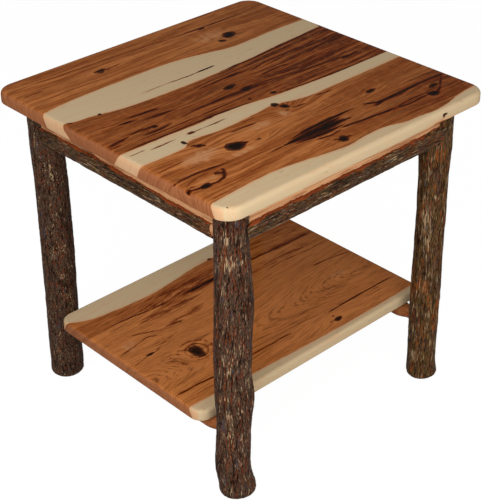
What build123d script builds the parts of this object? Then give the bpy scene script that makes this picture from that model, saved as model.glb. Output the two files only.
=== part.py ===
from build123d import *
import os
from dataclasses import dataclass
from math import atan2, cos, pi, radians, sin

# Rustic hickory end table: a glued-up plank top and shelf carried by four bark-on saplings.
# The saplings are joined by sawn rails under the top and by peeled stretchers under the shelf.
# Frame: +Z up, X along the grain, origin on the floor under the middle of the top.
# All lengths are in millimetres.

# Top
table_height = 610.0            # floor to the top's upper face
top_length = 614.0              # along the grain
top_depth = 604.0               # across the grain
top_thickness = 22.0
top_corner_radius = 34.0
top_edge_round = 8.0
top_under_round = 3.0
top_board_widths = (119.0, 110.0, 177.0)    # from the front; the rear board takes the rest

# Shelf
shelf_height = 164.0            # floor to the shelf's upper face
shelf_thickness = 21.5
shelf_end_reach = 41.0          # how far each end passes the legs' centre lines
shelf_side_inset = 42.0         # from each long edge to the legs' centre lines
shelf_corner_radius = 25.0
shelf_edge_round = 6.0
shelf_under_round = 2.0
shelf_board_widths = (61.0, 226.0)          # from the front; the rear board takes the rest

# Legs
leg_inset_x = 62.0              # from the top's ends to the legs' centre lines
leg_inset_y = 59.0              # from the top's sides to the legs' centre lines
sapling_radius = 31.0            # of a full-sized sapling; each leg's shape is shares of it
foot_round = 9.0
section_points = 12             # points round one cross-section of a sapling
ovality = 0.015                 # how far a section departs from a circle
trued_step = 0.3                # step in from the bark to the trued joint

# Rails under the top
rail_height = 75.0
rail_face_out = 22.0            # from the legs' centre plane out to the sawn face
rail_back_in = 16.0             # from the legs' centre plane in to the sawn back
rail_under_slope = 9.0          # where the log's round takes the lower outer corner
bark_proud = 6.3                # how far the bark stands out from the sawn face
bark_lip = 5.0                  # width of the ledge along the bark's upper edge
bark_swing = 0.5                # how far that varies along a rail
bark_belly_share = 0.67         # height of the bark's fullest line, as a share of its edge's
bark_tuck_share = 0.3           # the same, where it tucks under the rail
bark_tuck_proud = 0.55          # how much of bark_proud is left there
bark_end_gap = 1.0              # between the bark's end and the leg
joint_margin = 8.0              # how far the legs are trued round below the rails

# Tenons
rail_tenon_diameter = 25.4
side_tenon_rise = 20.0          # tenon centre above the rail's lower edge, side rails
end_tenon_rise = 54.0           # the same, front and rear rails, to pass over the others
tenon_past_centre = 2.0         # how far a tenon's end passes the leg's centre line
mortise_end_gap = 1.0
tenon_fit = 0.05                # radial clearance of a round tenon
cope_fit = 0.05                 # between a rail's hollowed end and its leg
cutter_bite_diameter = 25.0     # where the tenon cutter takes the bark off
cutter_bite_back = 14.0         # from the leg's centre line to the bite's centre

# Stretchers under the shelf
stretcher_diameter = 34.0
stretcher_seat_flat = 0.5       # planed off the top where the shelf lies on it
stretcher_tenon_diameter = 22.2
shoulder_length = 27.0          # taper from the full pole down to the tenon
shoulder_slope = 0.6            # of the taper where it meets the tenon
shoulder_from_centre = 34.5     # from the leg's centre line to the end of the taper

# Screws that hold the top and the shelf
top_screw_length = 50.0
top_screw_diameter = 4.8
top_screw_grip = 35.0           # rail left above the counterbore
top_screw_span_x = 300.0        # between the two screws of a front or rear rail
top_screw_span_y = 280.0        # between the two screws of a side rail
shelf_screw_length = 38.0
shelf_screw_diameter = 4.2
shelf_counterbore_depth = 8.0
shelf_screw_places = (-168.0, 0.0, 150.0)   # along each stretcher
screw_head_ratio = 1.9          # head diameter to shank diameter
screw_head_height = 3.0
screw_head_flat = 0.7           # share of the head's radius that is flat
screw_head_rim = 0.5            # share of the head's height that its rim takes
screw_recess_diameter = 2.6
screw_recess_depth = 1.8
screw_tip_length = 6.0
screw_fit = 0.05
counterbore_clearance = 0.6
pilot_end_gap = 0.5

# Worked out from the sizes above
top_under = table_height - top_thickness
shelf_under = shelf_height - shelf_thickness
rail_bottom = top_under - rail_height
joint_start = rail_bottom - joint_margin
leg_x = top_length / 2 - leg_inset_x
leg_y = top_depth / 2 - leg_inset_y
shelf_length = 2 * (leg_x + shelf_end_reach)
shelf_depth = 2 * (leg_y - shelf_side_inset)
rail_tenon_radius = rail_tenon_diameter / 2
stretcher_radius = stretcher_diameter / 2
stretcher_tenon_radius = stretcher_tenon_diameter / 2
stretcher_z = shelf_under - stretcher_radius + stretcher_seat_flat
side_tenon_z = rail_bottom + side_tenon_rise
end_tenon_z = rail_bottom + end_tenon_rise
rail_screw_offset = (rail_face_out - rail_back_in) / 2
top_screw_seat = top_under - top_screw_grip
shelf_screw_seat = stretcher_z - stretcher_radius + shelf_counterbore_depth


@dataclass
class Sapling:
    """One leg, as it grew. Its upper end is trued round for the rails, to joint_girth.
    Each station is its share of the height below that, its girth, how far its middle sways
    towards lean_side, and how far a knot swells on that side. All but the first are shares
    of the sapling's radius."""
    name: str
    side_x: int
    side_y: int
    joint_girth: float
    lean_side: float
    stations: tuple

    @property
    def joint_radius(self):
        return self.joint_girth * sapling_radius


saplings = (
    Sapling("front_left_leg", -1, -1, 0.92, -43.0, (
        (0.00, 1.02, 0.02, 0.00), (0.06, 1.02, 0.00, 0.00), (0.16, 1.00, -0.12, 0.00),
        (0.24, 0.97, -0.07, 0.00), (0.32, 1.00, -0.03, 0.01), (0.40, 1.03, -0.03, 0.10),
        (0.48, 1.03, -0.04, 0.01), (0.56, 1.03, -0.04, 0.00), (0.64, 1.02, -0.02, 0.00),
        (0.71, 1.02, 0.02, 0.03), (0.77, 1.01, 0.03, 0.08), (0.83, 1.00, 0.04, 0.04),
        (0.89, 0.97, 0.04, 0.01), (0.95, 0.94, 0.02, 0.00))),
    Sapling("rear_left_leg", -1, 1, 0.99, -43.0, (
        (0.00, 1.02, -0.08, 0.00), (0.10, 1.02, -0.04, 0.01), (0.20, 1.01, -0.04, 0.00),
        (0.33, 1.00, -0.02, 0.00), (0.46, 1.00, 0.01, 0.01), (0.60, 1.00, 0.05, 0.00),
        (0.72, 0.99, 0.05, 0.00), (0.82, 0.98, 0.05, 0.01), (0.92, 0.98, 0.02, 0.00))),
    Sapling("front_right_leg", 1, -1, 0.96, -43.0, (
        (0.00, 0.92, 0.10, 0.10), (0.05, 0.90, 0.07, 0.03), (0.12, 0.89, 0.06, 0.00),
        (0.20, 0.91, 0.05, 0.00), (0.30, 0.92, 0.03, 0.00), (0.40, 0.91, 0.03, 0.02),
        (0.50, 0.89, 0.03, 0.00), (0.62, 0.88, 0.03, 0.00), (0.74, 0.87, 0.04, 0.01),
        (0.86, 0.88, 0.02, 0.00), (0.94, 0.92, 0.01, 0.00))),
    Sapling("rear_right_leg", 1, 1, 0.95, 150.0, (
        (0.00, 0.98, 0.03, 0.00), (0.10, 0.97, -0.02, 0.01), (0.24, 0.95, -0.06, 0.00),
        (0.38, 0.94, -0.08, 0.04), (0.52, 0.95, -0.05, 0.00), (0.66, 0.94, 0.01, 0.00),
        (0.80, 0.93, 0.05, 0.05), (0.91, 0.94, 0.02, 0.00))),
)
legs_by_place = {(leg.side_x, leg.side_y): leg for leg in saplings}


@dataclass
class Rail:
    """One sawn rail. It faces outward, and runs along outward x up from its start to its
    end leg. The bark's upper edge is given along the run, as shares of the rail's height."""
    name: str
    outward: Vector
    start: tuple
    end: tuple
    tenon_z: float
    screw_span: float
    bark_line: tuple


rails = (
    Rail("front_rail", Vector(0, -1, 0), (1, -1), (-1, -1), end_tenon_z, top_screw_span_x,
         (0.53, 0.49, 0.49, 0.48, 0.46)),
    Rail("left_rail", Vector(-1, 0, 0), (-1, -1), (-1, 1), side_tenon_z, top_screw_span_y,
         (0.41, 0.42, 0.46, 0.48, 0.47)),
    Rail("rear_rail", Vector(0, 1, 0), (-1, 1), (1, 1), end_tenon_z, top_screw_span_x,
         (0.45, 0.49, 0.51, 0.48, 0.49)),
    Rail("right_rail", Vector(1, 0, 0), (1, 1), (1, -1), side_tenon_z, top_screw_span_y,
         (0.50, 0.47, 0.49, 0.52, 0.48)),
)


def leg_centre(side_x, side_y):
    """Where a leg's centre line meets the floor."""
    return Vector(side_x * leg_x, side_y * leg_y, 0)


def sapling_section(leg, station):
    """Points round one cross-section: a slightly oval ring with a swelling on one side.
    They start at the table's outer corner, so that the seam stays clear of the mortises."""
    share, girth, sway, swell = station
    lean = radians(leg.lean_side)
    first = atan2(leg.side_y, leg.side_x)
    towards = Vector(cos(lean), sin(lean), 0)
    middle = leg_centre(leg.side_x, leg.side_y) + towards * sway * sapling_radius
    points = []
    for step in range(section_points):
        angle = first + 2 * pi * step / section_points
        facing = max(0.0, cos(angle - lean))
        oval = 1 + ovality * cos(2 * (angle - 3 * share)) * (1 - share)
        reach = (girth * oval + swell * facing ** 2) * sapling_radius
        points.append((middle.X + reach * cos(angle), middle.Y + reach * sin(angle)))
    return points


def drill(centre, direction, radius, depth):
    """Bore a round hole into the part being built, from centre along direction."""
    with BuildSketch(Plane(origin=centre, z_dir=direction)) as mouth:
        Circle(radius)
    extrude(mouth.sketch, amount=depth, mode=Mode.SUBTRACT)


def make_leg(leg):
    """A bark-on sapling with a rounded foot and mortises for two rails and a stretcher."""
    foot = leg_centre(leg.side_x, leg.side_y)
    to_middle_x = Vector(-leg.side_x, 0, 0)
    to_middle_y = Vector(0, -leg.side_y, 0)
    bore = tenon_past_centre + mortise_end_gap
    joint = (1.0, (leg.joint_radius + trued_step) / sapling_radius, 0.0, 0.0)
    with BuildPart() as sapling:
        for station in leg.stations + (joint,):
            with BuildSketch(Plane.XY.offset(station[0] * joint_start)):
                with BuildLine():
                    Spline(*sapling_section(leg, station), periodic=True)
                make_face()
        loft()
        with BuildSketch(Plane(origin=foot + Vector(0, 0, joint_start))):
            Circle(leg.joint_radius)
        extrude(amount=top_under - joint_start)
        fillet(sapling.edges().group_by(Axis.Z)[0], radius=foot_round)
        mortise_length = 2 * leg.joint_radius + bore
        drill(foot + Vector(0, 0, end_tenon_z) - to_middle_x * bore, to_middle_x,
              rail_tenon_radius + tenon_fit, mortise_length)
        drill(foot + Vector(0, 0, side_tenon_z) - to_middle_y * bore, to_middle_y,
              rail_tenon_radius + tenon_fit, mortise_length)
        drill(foot + Vector(0, 0, stretcher_z) - to_middle_y * bore, to_middle_y,
              stretcher_tenon_radius + tenon_fit, mortise_length)
    return sapling.part


def bark_section(edge, swing):
    """The bark side of a rail in cross-section, from its upper ledge down under the rail."""
    ledge = rail_bottom + edge
    inner = rail_face_out - rail_under_slope
    lip = (rail_face_out + bark_lip, ledge)
    with BuildSketch() as section:
        with BuildLine():
            Polyline((inner, rail_bottom), (inner, ledge), lip)
            Spline(lip,
                   (rail_face_out + bark_proud + swing, rail_bottom + edge * bark_belly_share),
                   (rail_face_out + bark_proud * bark_tuck_proud + swing,
                    rail_bottom + edge * bark_tuck_share),
                   (inner, rail_bottom))
        make_face()
    return section.sketch


def make_rail(rail):
    """A rail sawn from a log: flat above, bark on the lower outer side, round tenons."""
    up = Vector(0, 0, 1)
    along = rail.outward.cross(up)
    start_centre, end_centre = leg_centre(*rail.start), leg_centre(*rail.end)
    middle = (start_centre + end_centre) / 2
    run = (end_centre - start_centre).length
    ends = ((start_centre, -along, legs_by_place[rail.start]),
            (end_centre, along, legs_by_place[rail.end]))
    with BuildPart() as beam:
        last = len(rail.bark_line) - 1
        for index, edge in enumerate(rail.bark_line):
            place = start_centre + along * (run * index / last)
            with BuildSketch(Plane(origin=place, x_dir=rail.outward, z_dir=along)):
                add(bark_section(edge * rail_height, bark_swing * cos(2 * index)))
        loft()
        for centre, _, leg in ends:
            with BuildSketch(Plane(origin=centre)):
                Circle(leg.joint_radius + bark_end_gap)
            extrude(amount=top_under, mode=Mode.SUBTRACT)
        for centre, onward, _ in ends:
            bite = centre - onward * cutter_bite_back + up * rail.tenon_z
            drill(bite, rail.outward, cutter_bite_diameter / 2, 2 * rail_face_out)
        with BuildSketch(Plane(origin=start_centre, x_dir=rail.outward, z_dir=along)):
            with BuildLine():
                Polyline((-rail_back_in, top_under), (-rail_back_in, rail_bottom),
                         (rail_face_out - rail_under_slope, rail_bottom),
                         (rail_face_out, rail_bottom + rail_under_slope),
                         (rail_face_out, top_under), close=True)
            make_face()
        extrude(amount=run)
        for centre, _, leg in ends:
            with BuildSketch(Plane(origin=centre)):
                Circle(leg.joint_radius + cope_fit)
            extrude(amount=top_under, mode=Mode.SUBTRACT)
        for centre, onward, leg in ends:
            root = centre - onward * (leg.joint_radius + rail_tenon_radius) + up * rail.tenon_z
            length = leg.joint_radius + rail_tenon_radius + tenon_past_centre
            with BuildSketch(Plane(origin=root, z_dir=onward)):
                Circle(rail_tenon_radius)
            extrude(amount=length)
        for place in screw_places(rail.screw_span):
            seat = middle + along * place + rail.outward * rail_screw_offset
            drill_for_screw(seat, rail_bottom, top_screw_seat, top_under, top_screw_diameter)
    return beam.part


def screw_places(span):
    """Two places, either side of the middle of a rail."""
    return (-span / 2, span / 2)


def drill_for_screw(place, from_z, seat_z, to_z, diameter):
    """A counterbore up to the head's seat, then a clearance hole, both from below."""
    up = Vector(0, 0, 1)
    head_radius = diameter * screw_head_ratio / 2 + counterbore_clearance
    drill(place + up * from_z, up, head_radius, seat_z - from_z)
    drill(place + up * from_z, up, diameter / 2 + screw_fit, to_z - from_z)


def make_stretcher(side_x):
    """A peeled pole along Y: a flat seat for the shelf, tapered shoulders and tenons."""
    centre = Vector(side_x * leg_x, 0, stretcher_z)
    taper_end = leg_y - shoulder_from_centre
    full_end = taper_end - shoulder_length
    tip = leg_y + tenon_past_centre
    along = Plane(origin=centre, x_dir=(0, 1, 0), z_dir=(1, 0, 0))
    with BuildPart() as pole:
        with BuildSketch(along):
            with BuildLine():
                Polyline((-tip, 0), (-tip, stretcher_tenon_radius),
                         (-taper_end, stretcher_tenon_radius))
                Spline((-taper_end, stretcher_tenon_radius), (-full_end, stretcher_radius),
                       tangents=((1, shoulder_slope), (1, 0)))
                Line((-full_end, stretcher_radius), (full_end, stretcher_radius))
                Spline((full_end, stretcher_radius), (taper_end, stretcher_tenon_radius),
                       tangents=((1, 0), (1, -shoulder_slope)))
                Polyline((taper_end, stretcher_tenon_radius),
                         (tip, stretcher_tenon_radius), (tip, 0), (-tip, 0))
            make_face()
        revolve(axis=Axis(centre, (0, 1, 0)))
        with BuildSketch(Plane.XY.offset(shelf_under)):
            with Locations((centre.X, 0)):
                Rectangle(stretcher_diameter, 2 * leg_y)
        extrude(amount=stretcher_radius, mode=Mode.SUBTRACT)
        for place in shelf_screw_places:
            drill_for_screw(Vector(centre.X, place, 0), stretcher_z - stretcher_diameter,
                            shelf_screw_seat, shelf_under, shelf_screw_diameter)
    return pole.part


def make_slab(length, depth, thickness, under_z, corner, edge_round, under_round):
    """A whole glued-up panel with rounded corners and edges, before it is split."""
    with BuildPart() as slab:
        with BuildSketch(Plane.XY.offset(under_z)):
            RectangleRounded(length, depth, corner)
        extrude(amount=thickness)
        fillet(slab.edges().group_by(Axis.Z)[-1], radius=edge_round)
        fillet(slab.edges().group_by(Axis.Z)[0], radius=under_round)
    return slab.part


def make_board(slab, front_y, rear_y, screws, seat_z, screw_length, diameter):
    """One board of a panel: the strip between two glue lines, with its pilot holes."""
    size = slab.bounding_box().size
    middle_z = slab.bounding_box().center().Z
    with BuildPart() as board:
        add(slab)
        with BuildSketch(Plane.XY.offset(middle_z)):
            with Locations((0, (front_y + rear_y) / 2)):
                Rectangle(size.X, rear_y - front_y)
        extrude(amount=size.Z, both=True, mode=Mode.INTERSECT)
        for screw in screws:
            if front_y < screw.Y < rear_y:
                drill(screw + Vector(0, 0, seat_z), Vector(0, 0, 1),
                      diameter / 2 + screw_fit, screw_length + pilot_end_gap)
    return board.part


def make_screw(place, seat_z, length, diameter):
    """A pan-head wood screw standing head down, with a drive recess and a tapered tip."""
    head_radius = diameter * screw_head_ratio / 2
    shank_radius = diameter / 2
    recess_radius = screw_recess_diameter / 2
    below = -screw_head_height
    with BuildPart() as screw:
        with BuildSketch(Plane(origin=place + Vector(0, 0, seat_z), x_dir=(1, 0, 0),
                               z_dir=(0, -1, 0))):
            with BuildLine():
                Polyline((0, length), (0, below + screw_recess_depth),
                         (recess_radius, below + screw_recess_depth),
                         (recess_radius, below), (head_radius * screw_head_flat, below),
                         (head_radius, below * screw_head_rim), (head_radius, 0),
                         (shank_radius, 0),
                         (shank_radius, length - screw_tip_length), close=True)
            make_face()
        revolve(axis=Axis(place, (0, 0, 1)))
    return screw.part


def write(name, shape):
    """Label a finished piece and write it to its own STEP file."""
    shape.label = name
    export_step(shape, f"parts/{name}.step")


def board_edges(depth, widths):
    """The Y of each glue line, from the front edge to the rear edge."""
    edges = [-depth / 2]
    for width in widths:
        edges.append(edges[-1] + width)
    return edges + [depth / 2]


top_screws = []
for rail in rails:
    run_middle = (leg_centre(*rail.start) + leg_centre(*rail.end)) / 2
    for place in screw_places(rail.screw_span):
        top_screws.append(run_middle + rail.outward.cross(Vector(0, 0, 1)) * place
                          + rail.outward * rail_screw_offset)
shelf_screws = [Vector(side * leg_x, place, 0)
                for side in (-1, 1) for place in shelf_screw_places]

os.makedirs("parts", exist_ok=True)

top_slab = make_slab(top_length, top_depth, top_thickness, top_under,
                     top_corner_radius, top_edge_round, top_under_round)
top_lines = board_edges(top_depth, top_board_widths)
top_names = ("top_board_front", "top_board_mid_front", "top_board_mid_rear", "top_board_rear")
for name, front_y, rear_y in zip(top_names, top_lines, top_lines[1:]):
    write(name, make_board(top_slab, front_y, rear_y, top_screws, top_screw_seat,
                           top_screw_length, top_screw_diameter))

shelf_slab = make_slab(shelf_length, shelf_depth, shelf_thickness, shelf_under,
                       shelf_corner_radius, shelf_edge_round, shelf_under_round)
shelf_lines = board_edges(shelf_depth, shelf_board_widths)
shelf_names = ("shelf_board_front", "shelf_board_middle", "shelf_board_rear")
for name, front_y, rear_y in zip(shelf_names, shelf_lines, shelf_lines[1:]):
    write(name, make_board(shelf_slab, front_y, rear_y, shelf_screws, shelf_screw_seat,
                           shelf_screw_length, shelf_screw_diameter))

for leg in saplings:
    write(leg.name, make_leg(leg))

for rail in rails:
    write(rail.name, make_rail(rail))

write("left_stretcher", make_stretcher(-1))
write("right_stretcher", make_stretcher(1))

write("top_screws", Compound(children=[
    make_screw(place, top_screw_seat, top_screw_length, top_screw_diameter)
    for place in top_screws]))
write("shelf_screws", Compound(children=[
    make_screw(place, shelf_screw_seat, shelf_screw_length, shelf_screw_diameter)
    for place in shelf_screws]))
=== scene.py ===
import math
from collections import namedtuple

import bmesh
import bpy
import numpy as np
from bpy.props import FloatProperty, FloatVectorProperty, PointerProperty
from mathutils import Matrix, Vector
from mathutils.bvhtree import BVHTree
from mathutils.geometry import delaunay_2d_cdt


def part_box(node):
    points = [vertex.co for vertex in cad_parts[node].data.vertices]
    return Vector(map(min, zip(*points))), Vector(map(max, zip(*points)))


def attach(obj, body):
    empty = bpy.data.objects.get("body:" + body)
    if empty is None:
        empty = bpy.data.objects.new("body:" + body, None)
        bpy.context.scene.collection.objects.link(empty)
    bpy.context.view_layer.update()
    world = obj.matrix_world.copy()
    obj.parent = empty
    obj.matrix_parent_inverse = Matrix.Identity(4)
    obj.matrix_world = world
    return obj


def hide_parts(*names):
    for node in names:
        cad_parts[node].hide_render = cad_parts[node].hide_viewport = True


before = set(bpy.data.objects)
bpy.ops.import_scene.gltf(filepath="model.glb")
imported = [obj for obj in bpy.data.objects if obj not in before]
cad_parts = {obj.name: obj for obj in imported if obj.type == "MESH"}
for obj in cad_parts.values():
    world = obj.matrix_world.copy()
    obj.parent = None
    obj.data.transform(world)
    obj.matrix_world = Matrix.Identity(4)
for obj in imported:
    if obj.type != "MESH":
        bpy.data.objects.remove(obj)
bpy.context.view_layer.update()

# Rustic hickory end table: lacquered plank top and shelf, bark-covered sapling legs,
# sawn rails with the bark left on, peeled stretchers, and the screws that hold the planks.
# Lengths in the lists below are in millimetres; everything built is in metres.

bl_info = {
    "name": "Rustic Hickory Table",
    "version": (1, 0, 0),
    "blender": (4, 5, 0),
    "location": "View3D > Sidebar > Hickory",
    "description": "Builds a rustic hickory end table, piece by piece, round its packed frame",
    "category": "Add Mesh",
}

MM = 0.001
BODY = "root"

LEGS = ("front_left_leg", "rear_left_leg", "front_right_leg", "rear_right_leg")


def linear(hex_colour):
    """An sRGB hex colour as linear red, green, blue."""
    parts = [int(hex_colour[i:i + 2], 16) / 255 for i in (1, 3, 5)]
    return [c / 12.92 if c <= 0.04045 else ((c + 0.055) / 1.055) ** 2.4 for c in parts]


def rgba(colour):
    """A linear colour with full alpha, from a property or from linear()."""
    return (*colour[:3], 1.0)


# ---------------------------------------------------------------- wood figure, as data

# A knot: its centre, its half sizes along and across the grain, how dark it is, how much it
# bends the grain, and how far it lies below the face.
Knot = namedtuple("Knot", "x y along across dark halo drop", defaults=(0.9, 1.0, 0.0))

# A dark mineral streak or an open check: the x and y of each point on it, its half width,
# how dark it is, the share of its length over which each end tapers, and how open it is.
Streak = namedtuple("Streak", "points half_width dark taper crack", defaults=(0.8, 0.17, 0.0))

# How a board grew. pith is (across, below) from the middle of its upper face. sapwood holds
# (side, lean, points): sapwood lies on that side, +1 rear or -1 front, of the line, which
# leans so far to the rear for each mm of height. dark is how much of the heartwood is dark
# and streaky at the left and the right end; where it rises towards the right end it is partly
# the wood's own streaks and partly painted shade, darker where the light falls off. tint is
# how pale the board is, wander is how far its rings rise and fall, and clouds holds pale
# patches, each (x, y, half length, half width, strength). knots and streaks hold the values
# of a Knot and of a Streak, in their order.
Board = namedtuple("Board", "pith sapwood dark tint wander clouds knots streaks",
                   defaults=((), (0.0, 0.0), 0.0, 12.0, (), (), ()))


def oval(x, y, along, across):
    """Points round an oval, as a closed path."""
    return tuple((x + along * math.cos(turn), y + across * math.sin(turn))
                 for turn in np.linspace(0, 2 * math.pi, 25))


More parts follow.
